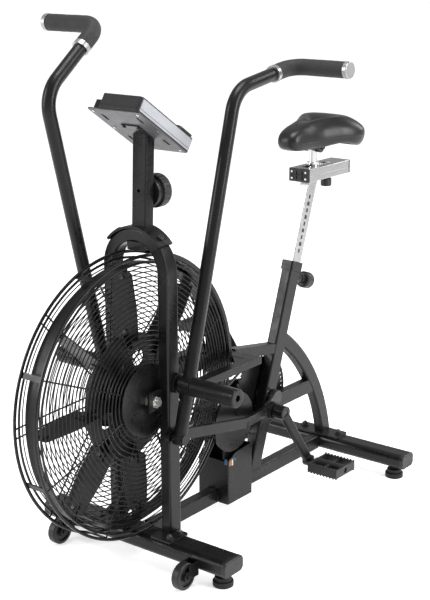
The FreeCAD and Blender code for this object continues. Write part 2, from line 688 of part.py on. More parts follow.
def crank_arm(side):
    """Arm from the eccentric pin out to the pedal, with the pedal's spindle."""
    pin = crank_pin(side)
    pedal = pedal_centre(side)
    top = V(side * 84, pin.y, pin.z)
    low = V(side * 115, pedal.y, pedal.z)
    boss = rod(V(side * 59, pin.y, pin.z), X_AXIS * side, 19, 33)
    boss = boss.cut(rod(V(side * 58, pin.y, pin.z), X_AXIS * side, 9.05, 34.5))
    eye = rod(V(side * 106, pedal.y, pedal.z), X_AXIS * side, 15.5, 19)
    bar = beam(top, low, 15, 27, wall=0, radius=5, side=X_AXIS)
    bar = bar.cut(rod(V(side * 58, pin.y, pin.z), X_AXIS * side, 9.05, 34.5))
    spindle = rod(V(side * 124, pedal.y, pedal.z), X_AXIS * side, 7, 108)
    return fused([boss, bar, eye, spindle])


def chainring():
    """Chain wheel on the far side, with the collar that carries it."""
    wheel_disc = sprocket(CRANK_CHAIN_X, CRANK_Y, CRANK_Z, CHAINRING_TEETH, 12.5)
    bead = pipe(V(CRANK_CHAIN_X - 3, CRANK_Y, CRANK_Z), X_AXIS, 88, 82, 2)
    carrier = pipe(V(CRANK_CHAIN_X - 5, CRANK_Y, CRANK_Z), X_AXIS, 45, 12.5, 4.5)
    return fused([wheel_disc, bead, carrier])


def pedal(side):
    """Platform pedal with toothed front and rear plates."""
    centre = pedal_centre(side)
    barrel = rod(V(side * 141, centre.y, centre.z), X_AXIS * side, 13, 92)
    pieces = [barrel]
    inner, outer = 143.0, 235.0
    for x in (inner, outer - 5):
        pieces.append(block(min(side * x, side * (x + 5)), max(side * x, side * (x + 5)),
                            centre.y - 44, centre.y + 44, centre.z - 12, centre.z + 12))
    for y in (-44, 41):
        plate = block(min(side * inner, side * outer), max(side * inner, side * outer),
                      centre.y + y, centre.y + y + 3, centre.z - 15, centre.z + 15)
        for tooth in range(9):
            middle = side * (inner + 6 + tooth * 10)
            for z in (-15, 15):
                notch = rod(V(middle, centre.y + y - 2, centre.z + z), Y_AXIS, 3.2, 8)
                plate = plate.cut(notch)
        pieces.append(plate)
    rib = block(min(side * 186, side * 192), max(side * 186, side * 192),
                centre.y - 42, centre.y + 42, centre.z - 9, centre.z + 9)
    pieces.append(rib)
    return fused(pieces).cut(rod(V(side * 120, centre.y, centre.z), X_AXIS * side, 7 + RUN_GAP, 120))


# Handles ------------------------------------------------------------------------------
def link_length():
    eye = lever_pin(1, LEFT_TILT)
    pin = crank_pin(1)
    return math.hypot(pin.y - eye.y, pin.z - eye.z)


def lever_pin(side, tilt):
    """The link pin at the foot of a handle that leans towards the saddle by tilt degrees."""
    angle = math.radians(tilt)
    return V(side * LINK_EYE_X, PIVOT_Y - LEVER_ARM * math.sin(angle),
             PIVOT_Z - LEVER_ARM * math.cos(angle))


def right_tilt():
    """Lean of the right handle, where its link is as long as the left one."""
    pin = crank_pin(-1)
    low, high = -30.0, 10.0
    for _ in range(60):
        middle = (low + high) / 2
        eye = lever_pin(-1, middle)
        if math.hypot(pin.y - eye.y, pin.z - eye.z) < link_length():
            low = middle
        else:
            high = middle
    return (low + high) / 2


def handle_tilt(side):
    return LEFT_TILT if side > 0 else right_tilt()


def handle_frame(side):
    """Unit vectors along the handle and square to it towards the saddle."""
    angle = math.radians(handle_tilt(side))
    up = V(0, math.sin(angle), math.cos(angle))
    back = V(0, math.cos(angle), -math.sin(angle))
    return up, back


GRIP_ELBOW = (787.0, 208.0)     # where the handle turns outwards, along and behind the lever
BEND_POINT = (693.0, 0.0)       # where it turns back towards the rider
RING_DISTANCE = 154.0           # from the bend to the alloy ring at the start of the foam
GRIP_END_X = 296.0


def handle_point(side, along, behind, out=0.0):
    up, back = handle_frame(side)
    return V(side * (HANDLE_X + out), PIVOT_Y, PIVOT_Z) + up * along + back * behind


def handle_wire(side, start, end_x, low_run=True):
    """Middle line of the handle: lever, bend to the rear, bend outwards."""
    bend = handle_point(side, *BEND_POINT)
    elbow = handle_point(side, *GRIP_ELBOW)
    up, _ = handle_frame(side)
    slope = (elbow - bend).normalize()
    out = X_AXIS * side
    first, second = 50.0, 40.0
    turn = [bend - up * first, bend + slope * first]
    turn_out = [elbow - slope * second, elbow + out * second]
    edges = []
    if low_run:
        edges.append(Part.LineSegment(start, turn[0]).toShape())
        edges.append(fillet_arc(turn[0], bend, turn[1]))
        edges.append(Part.LineSegment(turn[1], turn_out[0]).toShape())
    else:
        edges.append(Part.LineSegment(start, turn_out[0]).toShape())
    edges.append(fillet_arc(turn_out[0], elbow, turn_out[1]))
    edges.append(Part.LineSegment(turn_out[1], V(side * end_x, elbow.y, elbow.z)).toShape())
    return Part.Wire(edges)


def fillet_arc(start, corner, end):
    """The arc that touches both legs of a corner."""
    leg_in = (start - corner).normalize()
    leg_out = (end - corner).normalize()
    half = leg_in.getAngle(leg_out) / 2
    reach = (start - corner).Length
    radius = reach * math.tan(half)
    bisector = (leg_in + leg_out).normalize()
    centre = corner + bisector * (reach / math.cos(half))
    middle = centre - bisector * radius
    return Part.Arc(start, middle, end).toShape()


def round_sweep(wire, radius):
    """A round bar along a wire."""
    first = wire.Edges[0]
    start = first.valueAt(first.FirstParameter)
    tangent = first.tangentAt(first.FirstParameter)
    profile = Part.Wire(Part.makeCircle(radius, start, tangent))
    return wire.makePipeShell([profile], True, False)


def handle(side):
    """Swinging handle: one bent tube with its pivot sleeve and link boss."""
    wire = handle_wire(side, handle_point(side, -LEVER_ARM - 14, 0), GRIP_END_X - 8)
    tube = round_sweep(wire, 16)
    bore = round_sweep(wire, 13.5)
    pivot = V(side * 116.5, PIVOT_Y, PIVOT_Z)
    sleeve = rod(pivot, X_AXIS * side, 24, 33)
    tube = fused([tube.cut(bore), sleeve])
    tube = tube.cut(rod(V(side * 110, PIVOT_Y, PIVOT_Z), X_AXIS * side, 10 + 0.08, 44))
    eye = lever_pin(side, handle_tilt(side))
    boss = rod(V(side * 116.5, eye.y, eye.z), X_AXIS * side, 13, 33)
    return fused([tube, boss])


def ring_place(side):
    """Middle of the alloy ring, and the direction of the handle there."""
    bend = handle_point(side, *BEND_POINT)
    slope = (handle_point(side, *GRIP_ELBOW) - bend).normalize()
    return bend + slope * RING_DISTANCE, slope


def grip(side):
    """Foam grip over the end of the handle, from the ring to the cap."""
    ring_point, slope = ring_place(side)
    wire = handle_wire(side, ring_point + slope * 6, GRIP_END_X - 8, low_run=False)
    return round_sweep(wire, 20).cut(round_sweep(wire, 16))


def handle_trim(side):
    """Alloy ring at the start of the foam and alloy cap at its end."""
    ring_point, slope = ring_place(side)
    elbow = handle_point(side, *GRIP_ELBOW)
    collar = pipe(ring_point - slope * 6, slope, 20.5, 16, 11.8)
    cap = rod(V(side * (GRIP_END_X - 7.8), elbow.y, elbow.z), X_AXIS * side, 20.5, 11.8)
    cap = cap.makeFillet(2, [e for e in cap.Edges if abs(e.CenterOfMass.x) > GRIP_END_X + 3.9])
    return group([collar, cap])


def link(side):
    """Bar from the crank pin to the handle's foot, stepped outwards past the frame."""
    eye = lever_pin(side, handle_tilt(side))
    pin = crank_pin(side)
    run = V(0, eye.y - pin.y, eye.z - pin.z)
    length = run.Length
    along = run.normalize()
    out = X_AXIS * side
    stations = [(0, LINK_PIN_X), (35, LINK_PIN_X), (205, LINK_EYE_X), (length, LINK_EYE_X)]
    half = 6.0
    inner = [V(0, pin.y, pin.z) + along * d + out * (x - half) for d, x in stations]
    outer = [V(0, pin.y, pin.z) + along * d + out * (x + half) for d, x in reversed(stations)]
    up = along.cross(X_AXIS).normalize()
    face = Part.Face(Part.makePolygon(inner + outer + [inner[0]]))
    face.translate(up * -13)
    bar = face.extrude(up * 26)
    big_end = rod(V(side * (LINK_PIN_X - 6.5), pin.y, pin.z), out, 23, 13)
    small_end = rod(V(side * (LINK_EYE_X - half), eye.y, eye.z), out, 18, 2 * half)
    bolt = rod(V(side * (LINK_EYE_X - half - 0.6), eye.y, eye.z), out, 9, 2 * half + 3)
    bar = fused([bar, big_end, small_end, bolt])
    return bar.cut(rod(V(side * (LINK_PIN_X - 8), pin.y, pin.z), out, 9 + 0.08, 18))


def foot_peg(side):
    """Stub shaft on the upright, and the foot peg on its end."""
    start = V(side * (UPRIGHT_X + UPRIGHT_WIDE / 2), PIVOT_Y, PIVOT_Z)
    flange = rod(start, X_AXIS * side, 24, 8)
    shaft = rod(start, X_AXIS * side, 10, 56)
    peg = rod(V(side * 150.5, PIVOT_Y, PIVOT_Z), X_AXIS * side, 22.5, 126.5)
    peg = peg.makeFillet(3, [e for e in peg.Edges if abs(e.CenterOfMass.x) > 276])
    socket = rod(V(side * 267, PIVOT_Y, PIVOT_Z), X_AXIS * side, 8, 12)
    return fused([flange, shaft, peg]).cut(socket)


# Console ------------------------------------------------------------------------------
def console_axes():
    """Unit vectors down the console's top face towards the rider, and out of that face."""
    tilt = math.radians(CONSOLE_TILT)
    return V(0, math.cos(tilt), -math.sin(tilt)), V(0, math.sin(tilt), math.cos(tilt))


def console_block(x0, x1, d0, d1, h0, h1, radius=0.0):
    """A block in the console's own frame: d runs down the top face from its front edge,
    and h is the height above the underside."""
    down, out = console_axes()
    solid = rounded(x1 - x0, d1 - d0, h1 - h0, radius) if radius else \
        Part.makeBox(x1 - x0, d1 - d0, h1 - h0, V((x0 - x1) / 2, (d0 - d1) / 2, (h0 - h1) / 2))
    corner = V(0, CONSOLE_FRONT_Y, CONSOLE_FRONT_Z) - out * CONSOLE_THICK
    centre = corner + down * ((d0 + d1) / 2) + out * ((h0 + h1) / 2)
    centre.x = (x0 + x1) / 2
    return aligned(solid, centre, X_AXIS, out)


def console_housing():
    """Plastic case, thinner on its right, with a raised pod beside the display."""
    main = console_block(-42, 77, 0, CONSOLE_LENGTH, 0.2, CONSOLE_THICK, 9)
    ear = console_block(-77, -38, 20, CONSOLE_LENGTH, 0.2, CONSOLE_THICK * 0.77, 9)
    case = fused([main, ear])
    hollow = console_block(-37, 74, 5, CONSOLE_LENGTH - 5, 3, CONSOLE_THICK - 3, 6)
    case = case.cut(hollow)
    window = console_block(-28, 66, 22, 122, CONSOLE_THICK - 4, CONSOLE_THICK + 4)
    case = case.cut(window)
    pod = console_block(34, 74, 150, CONSOLE_LENGTH - 4, CONSOLE_THICK - 1, CONSOLE_THICK + 7, 8)
    case = case.fuse(pod)
    for index in range(3):
        centre = button_centre(index)
        out = console_axes()[1]
        case = case.cut(rod(centre - out * 8, out, 7.5, 16))
    return case.removeSplitter()


def button_centre(index):
    """Middle of a key's travel hole in the top face."""
    down = console_axes()[0]
    corner = V(0, CONSOLE_FRONT_Y, CONSOLE_FRONT_Z)
    centre = corner + down * 140
    centre.x = -18 + 26 * index
    return centre


def button(index):
    """Round key that stands proud of the case."""
    out = console_axes()[1]
    key = rod(button_centre(index) - out * 2.8, out, 7.0, 5.8)
    rim = [e for e in key.Edges if (e.CenterOfMass - button_centre(index)).dot(out) > 2.9]
    return key.makeFillet(1, rim)


def console_screen():
    return console_block(-27.8, 65.8, 22.2, 121.8, CONSOLE_THICK - 3.2, CONSOLE_THICK - 1.2)


def console_bracket():
    """Grey mounting plate under the console, with slots and a socket for the mast."""
    plate = console_block(-77, 77, 6, CONSOLE_LENGTH - 6, -3.0, 0.0, 6)
    for x in (-52, 52):
        for d in (46, 152):
            plate = plate.cut(console_block(x - 4, x + 4, d - 14, d + 14, -5, 2, 3.9))
    return plate


# Seat ---------------------------------------------------------------------------------
def seat_post():
    """Aluminium post with a groove and a row of holes for the pull pin."""
    low = seat_point(SEAT_TUBE_TOP_Z) - seat_axis() * 200
    top_z = RAIL_BOTTOM_Z + 12
    post = beam(low, seat_point(top_z), 28, 38.4, wall=2.4, radius=2.2)
    groove_low = low + seat_back() * 19.2
    groove = rounded(13.5, 8, 900, 1.5)
    post_floor = rounded(18.5, 2.4, (seat_point(top_z) - low).Length, 1)
    middle = (low + seat_point(top_z)) * 0.5
    floor = aligned(post_floor, middle + seat_back() * 14.0, X_AXIS, seat_axis())
    post = fused([post, floor])
    post = post.cut(aligned(groove, groove_low, X_AXIS, seat_axis()))
    post = post.cut(block(-30, 30, 200, 700, RAIL_BOTTOM_Z, RAIL_BOTTOM_Z + 60))
    for index in range(9):
        hole = rod(pin_origin(6) + seat_axis() * (index * 25 - 20), seat_back(), 5.6, 12)
        post = post.cut(hole)
    return sorted(post.Solids, key=lambda s: -s.Volume)[0]


def slider_rail():
    """Aluminium channel that the saddle carriage slides in."""
    y0, y1 = 422.5, 614.5
    rail = block(-32, 32, y0, y1, RAIL_BOTTOM_Z, RAIL_TOP_Z)
    edges = [e for e in rail.Edges if abs(e.Length - (y1 - y0)) < 1e-6]
    rail = rail.makeFillet(2, edges)
    rail = rail.cut(block(-29, 29, y0 - 1, y1 + 1, RAIL_BOTTOM_Z + 3, RAIL_TOP_Z - 3))
    rail = rail.cut(block(-12.5, 12.5, y0 + 18, y1 - 60, RAIL_TOP_Z - 5, RAIL_TOP_Z + 1))
    rail = rail.cut(block(-6, 6, 508, 600, RAIL_BOTTOM_Z - 1, RAIL_BOTTOM_Z + 5))
    for side in (1, -1):
        rail = rail.cut(block(side * 32 - 1, side * 32 + 1, y0 - 1, y1 + 1, 845, 849))
    return rail


def slider_caps():
    """Plastic plugs with a recessed face, one at each end of the rail."""
    caps = []
    for y in (416.5, 614.5):
        cap = block(-32, 32, y, y + 6, RAIL_BOTTOM_Z, RAIL_TOP_Z)
        cap = cap.makeFillet(1.5, cap.Edges)
        cap = cap.cut(block(-24, 24, y - 1 if y < 500 else y + 4.5, y + 1.5 if y < 500 else y + 7,
                            RAIL_BOTTOM_Z + 8, RAIL_TOP_Z - 8))
        caps.append(cap)
    return group(caps)


def seat_carriage():
    """Block in the rail with the chrome post of the saddle and the threaded nose below."""
    slide = block(-28.6, 28.6, 462, 572, RAIL_BOTTOM_Z + 3.4, RAIL_TOP_Z - 3.4)
    post = rod(V(0, SADDLE_PIVOT_Y, RAIL_TOP_Z - 10), Z_AXIS, 11, SADDLE_PIVOT_Z - RAIL_TOP_Z + 10)
    collar = rod(V(0, SADDLE_PIVOT_Y, RAIL_TOP_Z + 1), Z_AXIS, 17, 8)
    head = rod(V(-13, SADDLE_PIVOT_Y, SADDLE_PIVOT_Z), X_AXIS, 14, 26)
    stud = rod(V(0, 549.5, RAIL_BOTTOM_Z - 24), Z_AXIS, 4, 40)
    return fused([slide, post, collar, head, stud])


def saddle_clamp():
    """Clamp on the post's head with its cross bolt, and the two rails under the saddle."""
    pieces = []
    for side in (1, -1):
        cheek = rod(V(side * 13.4, SADDLE_PIVOT_Y, SADDLE_PIVOT_Z), X_AXIS * side, 15, 13)
        bolt = rod(V(side * 26, SADDLE_PIVOT_Y, SADDLE_PIVOT_Z), X_AXIS * side, 6, 9)
        pieces += [cheek, bolt]
        points = [V(side * 13, 420, 935.6), V(side * 20, 440, 925), V(side * 20, SADDLE_PIVOT_Y, 925),
                  V(side * 24, 520, 925), V(side * 40, 568, 935.6)]
        for start, end in zip(points, points[1:]):
            pieces.append(rod(start, end - start, 3.5, (end - start).Length))
            pieces.append(Part.makeSphere(3.5, end))
    bridge = rounded(46, 34, 6, 3)
    bridge.translate(V(0, SADDLE_PIVOT_Y, 935))
    pieces.append(bridge)
    upright = [block(side * 20 - 5, side * 20 + 5, SADDLE_PIVOT_Y - 10, SADDLE_PIVOT_Y + 10, 915, 936)
               for side in (1, -1)]
    return fused(pieces + upright)


def saddle_outline(scale, z, slope):
    """Plan of the saddle at one level: nose, waist, wings and rounded tail."""
    half = [(338, 0), (344, 15), (372, 26), (430, 40), (475, 62), (520, 90), (558, 101), (596, 88),
            (616, 50), (620, 0)]
    middle = 490.0
    side = [V(x * scale, middle + (y - middle) * scale, 0) for y, x in half]
    other = [V(-p.x, p.y, 0) for p in reversed(side[1:-1])]
    points = [V(p.x, p.y, z + (p.y - middle) * slope) for p in side + other]
    curve = Part.BSplineCurve()
    curve.interpolate(points, PeriodicFlag=True)
    return Part.Wire(curve.toShape())


def saddle():
    """Cushion: one closed body with a hollow under it for the rails, its nose lower than its tail."""
    levels = [(0.80, 914.5, -0.07), (0.93, 929, -0.03), (1.0, 950, 0.02), (0.985, 967, 0.06),
              (0.92, 981, 0.10), (0.78, 989, 0.12)]
    wires = [saddle_outline(*level) for level in levels]
    body = Part.makeLoft(wires, True, False)
    hollow = Part.Face(saddle_outline(0.70, 880, 0)).extrude(Z_AXIS * (SADDLE_HOLLOW_TOP - 880))
    arch = rod(V(-150, 515, 880), X_AXIS, 50, 300)
    return body.cut(hollow).cut(arch)


def pull_pin():
    """Sprung pin with a round knob, behind the seat tube."""
    pin = rod(pin_origin(15.6), seat_back(), 4.6, 12)
    stem = rod(pin_origin(26), seat_back(), 6, 40)
    collar = rod(pin_origin(50.4), seat_back(), 12, 12)
    knob = rod(pin_origin(62), seat_back(), 23, 34)
    ends = [e for e in knob.Edges if (e.CenterOfMass - pin_origin(95.9)).dot(seat_back()) > 0
            or abs((e.CenterOfMass - pin_origin(62)).dot(seat_back())) < 0.1]
    knob = knob.makeFillet(8, ends)
    return fused([pin, stem, collar, knob])


def knob_under_rail():
    """Small round knob that clamps the carriage from below."""
    centre = V(0, 549.5, RAIL_BOTTOM_Z - 30)
    body = rod(centre, Z_AXIS, 15, 22)
    body = body.makeFillet(3, [body.Edges[0], body.Edges[2]])
    neck = rod(centre + Z_AXIS * 20, Z_AXIS, 8, 9.6)
    return fused([body, neck]).cut(rod(centre + Z_AXIS * 4, Z_AXIS, 4 + RUN_GAP, 40))


def mast_knob():
    """Large knob behind the mast, with a fine-fluted rim."""
    collar_radius = 34
    face_y = mast_back() + collar_radius * MAST_LEAN + RUN_GAP
    collar = rod(V(0, face_y, MAST_KNOB_Z), Y_AXIS, collar_radius, 16)
    disc = rod(V(0, face_y + 15, MAST_KNOB_Z), Y_AXIS, 40, 26)
    disc = disc.makeFillet(3, [disc.Edges[0], disc.Edges[2]])
    for index in range(24):
        angle = math.radians(15 * index + 7)
        flute = rod(V(41.5 * math.cos(angle), face_y, MAST_KNOB_Z + 41.5 * math.sin(angle)),
                    Y_AXIS, 3, 60)
        disc = disc.cut(flute)
    bore = rod(V(0, face_y - 1, MAST_KNOB_Z), Y_AXIS, 5 + RUN_GAP, 36)
    return fused([collar, disc]).cut(bore)


# Fasteners ----------------------------------------------------------------------------
def acorn(x, y, z, radius=8.0):
    """A domed nut on a flat washer."""
    washer = rod(V(x, y, z), Z_AXIS, radius + 4, 1.6)
    nut = rod(V(x, y, z + 1.6), Z_AXIS, radius, 6)
    dome = Part.makeSphere(radius - 1.5, V(x, y, z + 6.5))
    return fused([washer, nut, dome])


def arch_bolt(side):
    """Button-head bolt through the mast's curved plate."""
    angle = math.radians(38 * side)
    direction = V(math.sin(angle), 0, math.cos(angle))
    start = V(0, UPRIGHT_Y, ARCH_Z) + direction * (UPRIGHT_X + UPRIGHT_WIDE / 2 + 6.05)
    head = rod(start, direction, 8, 5)
    return head.makeFillet(1.5, [e for e in head.Edges if (e.CenterOfMass - start).dot(direction) > 4.9])


def frame_bolts():
    bolts = [acorn(s * 112, FRONT_STABILIZER_Y + 18, BASE_TOP_Z + 6) for s in (1, -1)]
    bolts += [acorn(s * 112, FRONT_STABILIZER_Y - 18, BASE_TOP_Z + 6) for s in (1, -1)]
    bolts += [acorn(s * 58, REAR_STABILIZER_Y + 6, 81) for s in (1, -1)]
    bolts += [arch_bolt(s) for s in (1, -1)]
    return group(bolts)


def main():
    os.makedirs("parts", exist_ok=True)
    save("base_rail", base_rail())
    save("front_stabilizer", front_stabilizer())
    save("rear_stabilizer", rear_stabilizer())
    save("stabilizer_caps", stabilizer_caps())
    save("feet", feet())
    save("wheel_left", wheel(1))
    save("wheel_right", wheel(-1))
    save("fan_arch", fan_arch())
    save("mast", mast())
    save("side_yoke", side_yoke())
    save("seat_tube", seat_tube())
    save("upper_tube", upper_tube())
    save("rear_arc", rear_arc())
    save("bottom_bracket_shell", bottom_bracket_shell())
    save("bearings", bearings())
    save("cage_left", cage_left())
    save("cage_right", cage_right())
    save("rear_shield", rear_shield())
    save("hub_covers", hub_covers())
    save("fan_axle", fan_axle())
    save("fan_hub", fan_hub())
    save("fan_blades", fan_blades())
    save("fan_hoop", fan_hoop())
    save("fan_screws", fan_screws())
    save("fan_sprocket", fan_sprocket())
    save("drive_chains", drive_chains())
    save("jackshaft", jackshaft())
    save("jackshaft_bracket", jackshaft_bracket())
    save("drive_cover", drive_cover())
    save("crankshaft", crankshaft())
    save("chainring", chainring())
    for name, side in (("left", 1), ("right", -1)):
        save("crank_arm_" + name, crank_arm(side))
        save("pedal_" + name, pedal(side))
        save("link_" + name, link(side))
        save("handle_" + name, handle(side))
        save("grip_" + name, grip(side))
        save("handle_trim_" + name, handle_trim(side))
    save("foot_pegs", group([foot_peg(1), foot_peg(-1)]))
    save("console_bracket", console_bracket())
    save("console_housing", console_housing())
    save("console_screen", console_screen())
    for index, name in enumerate(("left", "middle", "right")):
        save("button_" + name, button(index))
    save("seat_post", seat_post())
    save("slider_rail", slider_rail())
    save("slider_caps", slider_caps())
    save("seat_carriage", seat_carriage())
    save("saddle_clamp", saddle_clamp())
    save("saddle", saddle())
    save("pull_pin", pull_pin())
    save("slider_knob", knob_under_rail())
    save("mast_knob", mast_knob())
    save("frame_bolts", frame_bolts())


main()
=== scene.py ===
import bpy
import bmesh
import json
import math
from mathutils import Matrix, Vector, noise


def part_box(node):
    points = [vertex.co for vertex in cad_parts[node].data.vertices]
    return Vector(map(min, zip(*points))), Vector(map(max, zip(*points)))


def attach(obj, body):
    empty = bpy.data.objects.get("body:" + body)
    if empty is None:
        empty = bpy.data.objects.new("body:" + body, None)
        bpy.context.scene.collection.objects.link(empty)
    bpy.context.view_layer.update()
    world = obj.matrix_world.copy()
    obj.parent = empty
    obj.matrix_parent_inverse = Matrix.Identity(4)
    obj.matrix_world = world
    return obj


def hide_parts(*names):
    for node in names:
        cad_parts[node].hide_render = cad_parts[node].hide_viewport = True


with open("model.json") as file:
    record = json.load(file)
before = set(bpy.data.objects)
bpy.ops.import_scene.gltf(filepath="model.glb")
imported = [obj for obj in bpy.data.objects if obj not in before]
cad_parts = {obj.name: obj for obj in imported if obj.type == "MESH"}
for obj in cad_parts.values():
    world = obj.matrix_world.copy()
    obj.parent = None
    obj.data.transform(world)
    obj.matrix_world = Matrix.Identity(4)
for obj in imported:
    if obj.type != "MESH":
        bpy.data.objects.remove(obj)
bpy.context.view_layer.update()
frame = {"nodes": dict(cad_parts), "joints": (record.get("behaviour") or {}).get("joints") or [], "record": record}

NODES = frame["nodes"]
JOINTS = {joint["name"]: joint for joint in frame["joints"]}


# Materials ----------------------------------------------------------------------------
def new_material(name):
    mat = bpy.data.materials.new(name)
    mat.use_nodes = True
    tree = mat.node_tree
    shader = tree.nodes["Principled BSDF"]
    coords = tree.nodes.new("ShaderNodeTexCoord")
    return mat, tree, shader, coords


def noise_node(tree, coords, scale, detail, rough, stretch=None):
    node = tree.nodes.new("ShaderNodeTexNoise")
    node.inputs["Scale"].default_value = scale
    node.inputs["Detail"].default_value = detail
    node.inputs["Roughness"].default_value = rough
    source = coords.outputs["Object"]
    if stretch:
        mapping = tree.nodes.new("ShaderNodeMapping")
        mapping.inputs["Scale"].default_value = stretch
        tree.links.new(source, mapping.inputs["Vector"])
        source = mapping.outputs["Vector"]
    tree.links.new(source, node.inputs["Vector"])
    return node


def spread(tree, source, low, high, start=0.3, end=0.7):
    """Maps a factor onto the range low to high."""
    node = tree.nodes.new("ShaderNodeMapRange")
    node.inputs["From Min"].default_value = start
    node.inputs["From Max"].default_value = end
    node.inputs["To Min"].default_value = low
    node.inputs["To Max"].default_value = high
    tree.links.new(source, node.inputs["Value"])
    return node.outputs["Result"]


def two_colours(tree, factor, first, second):
    node = tree.nodes.new("ShaderNodeMix")
    node.data_type = "RGBA"
    node.inputs[6].default_value = (*first, 1.0)
    node.inputs[7].default_value = (*second, 1.0)
    tree.links.new(factor, node.inputs[0])
    return node


def edge_mask(tree, width):
    """One on sharp edges, zero on flat faces: a rounded normal against the true one."""
    bevel = tree.nodes.new("ShaderNodeBevel")
    bevel.samples = 4
    bevel.inputs["Radius"].default_value = width
    geometry = tree.nodes.new("ShaderNodeNewGeometry")
    dot = tree.nodes.new("ShaderNodeVectorMath")
    dot.operation = "DOT_PRODUCT"
    tree.links.new(bevel.outputs["Normal"], dot.inputs[0])
    tree.links.new(geometry.outputs["Normal"], dot.inputs[1])
    mask = spread(tree, dot.outputs["Value"], 1.0, 0.0, 0.80, 0.995)
    return bevel, mask


def surface(name, colour, rough, metallic=0.0, vary=0.25, fine=900.0, bump=0.02, depth=0.0002,
            broad=9.0, rough_vary=0.08, wear=None, wear_amount=0.35, edge=0.0, coat=0.0,
            stretch=None, specular=0.5):
    """A finish with colour drift, roughness drift, a fine relief and, where asked, worn edges."""
    mat, tree, shader, coords = new_material(name)
    drift = noise_node(tree, coords, broad, 5.0, 0.6)
    darker = tuple(c * (1.0 - vary) for c in colour)
    lighter = tuple(min(1.0, c * (1.0 + vary)) for c in colour)
    mix = two_colours(tree, spread(tree, drift.outputs["Fac"], 0.0, 1.0), darker, lighter)
    colour_out = mix.outputs[2]
    grain = noise_node(tree, coords, fine, 3.0, 0.6, stretch)
    smudge = noise_node(tree, coords, 28.0, 6.0, 0.65)
    rough_out = spread(tree, smudge.outputs["Fac"], max(0.02, rough - rough_vary), rough + rough_vary)
    bump_node = tree.nodes.new("ShaderNodeBump")
    bump_node.inputs["Strength"].default_value = bump
    bump_node.inputs["Distance"].default_value = depth
    tree.links.new(grain.outputs["Fac"], bump_node.inputs["Height"])
    if edge:
        bevel, mask = edge_mask(tree, edge)
        tree.links.new(bevel.outputs["Normal"], bump_node.inputs["Normal"])
        if wear:
            patch = noise_node(tree, coords, 160.0, 4.0, 0.7)
            spots = spread(tree, patch.outputs["Fac"], 0.0, wear_amount, 0.48, 0.72)
            both = tree.nodes.new("ShaderNodeMath")
            both.operation = "MULTIPLY"
            tree.links.new(mask, both.inputs[0])
            tree.links.new(spots, both.inputs[1])
            worn = tree.nodes.new("ShaderNodeMix")
            worn.data_type = "RGBA"
            worn.inputs[7].default_value = (*wear, 1.0)
            tree.links.new(both.outputs["Value"], worn.inputs[0])
            tree.links.new(colour_out, worn.inputs[6])
            colour_out = worn.outputs[2]
    tree.links.new(colour_out, shader.inputs["Base Color"])
    tree.links.new(rough_out, shader.inputs["Roughness"])
    tree.links.new(bump_node.outputs["Normal"], shader.inputs["Normal"])
    shader.inputs["Metallic"].default_value = metallic
    shader.inputs["Coat Weight"].default_value = coat
    shader.inputs["Coat Roughness"].default_value = 0.18
    shader.inputs["Specular IOR Level"].default_value = specular
    return mat


def grey(value, warm=0.0):
    return (value * (1 + warm), value, value * (1 - warm))


POWDER = surface("powder_coat", grey(0.0055), 0.30, vary=0.22, fine=1500.0, bump=0.14, depth=0.0003,
                 wear=grey(0.07), wear_amount=0.4, edge=0.0012, specular=0.24)
WIRE = surface("cage_enamel", grey(0.005), 0.26, vary=0.25, fine=700.0, bump=0.06, specular=0.24)
FAN = surface("fan_enamel", grey(0.006), 0.38, vary=0.25, fine=900.0, bump=0.08, specular=0.24)
ALUMINIUM = surface("anodised_aluminium", grey(0.34), 0.32, metallic=0.85, vary=0.05, fine=260.0,
                    bump=0.10, depth=0.0002, stretch=(9.0, 9.0, 0.35), edge=0.0008, rough_vary=0.07)
CHROME = surface("chrome_plate", grey(0.72), 0.12, metallic=1.0, vary=0.05, fine=120.0, bump=0.02,
                 rough_vary=0.05)
ZINC = surface("zinc_plate", (0.58, 0.575, 0.55), 0.27, metallic=1.0, vary=0.12, fine=500.0,
               bump=0.08, edge=0.0006, broad=60.0)
DARK_STEEL = surface("oiled_steel", grey(0.055), 0.36, metallic=0.8, vary=0.3, fine=600.0, bump=0.1,
                     broad=40.0)
PLASTIC = surface("moulded_plastic", grey(0.007), 0.44, vary=0.18, fine=2200.0, bump=0.22,
                  depth=0.0003, wear=grey(0.03), edge=0.0012, specular=0.4)
GREY_PLATE = surface("grey_paint", (0.060, 0.060, 0.066), 0.42, vary=0.1, fine=1200.0, bump=0.1,
                     edge=0.001, specular=0.4)
SILVER_BAND = surface("silver_paint", (0.36, 0.37, 0.39), 0.38, metallic=0.35, vary=0.06,
                      fine=1600.0, bump=0.06)
RUBBER = surface("rubber", grey(0.008), 0.66, vary=0.25, fine=1800.0, bump=0.3, depth=0.0004,
                 specular=0.35)
VINYL = surface("saddle_vinyl", grey(0.004), 0.36, vary=0.2, fine=1300.0, bump=0.12, depth=0.0003,
                rough_vary=0.05, coat=0.05, specular=0.34)
STITCH = surface("thread", grey(0.02), 0.8, vary=0.3, fine=2500.0, bump=0.3)
GLASS = surface("display_lens", (0.035, 0.042, 0.040), 0.10, vary=0.1, fine=60.0, bump=0.01, coat=0.6)
SEGMENT = surface("display_segment", (0.004, 0.005, 0.005), 0.5, vary=0.1)
WELD = surface("weld_bead", grey(0.007), 0.30, vary=0.25, fine=350.0, bump=0.35, depth=0.0005)


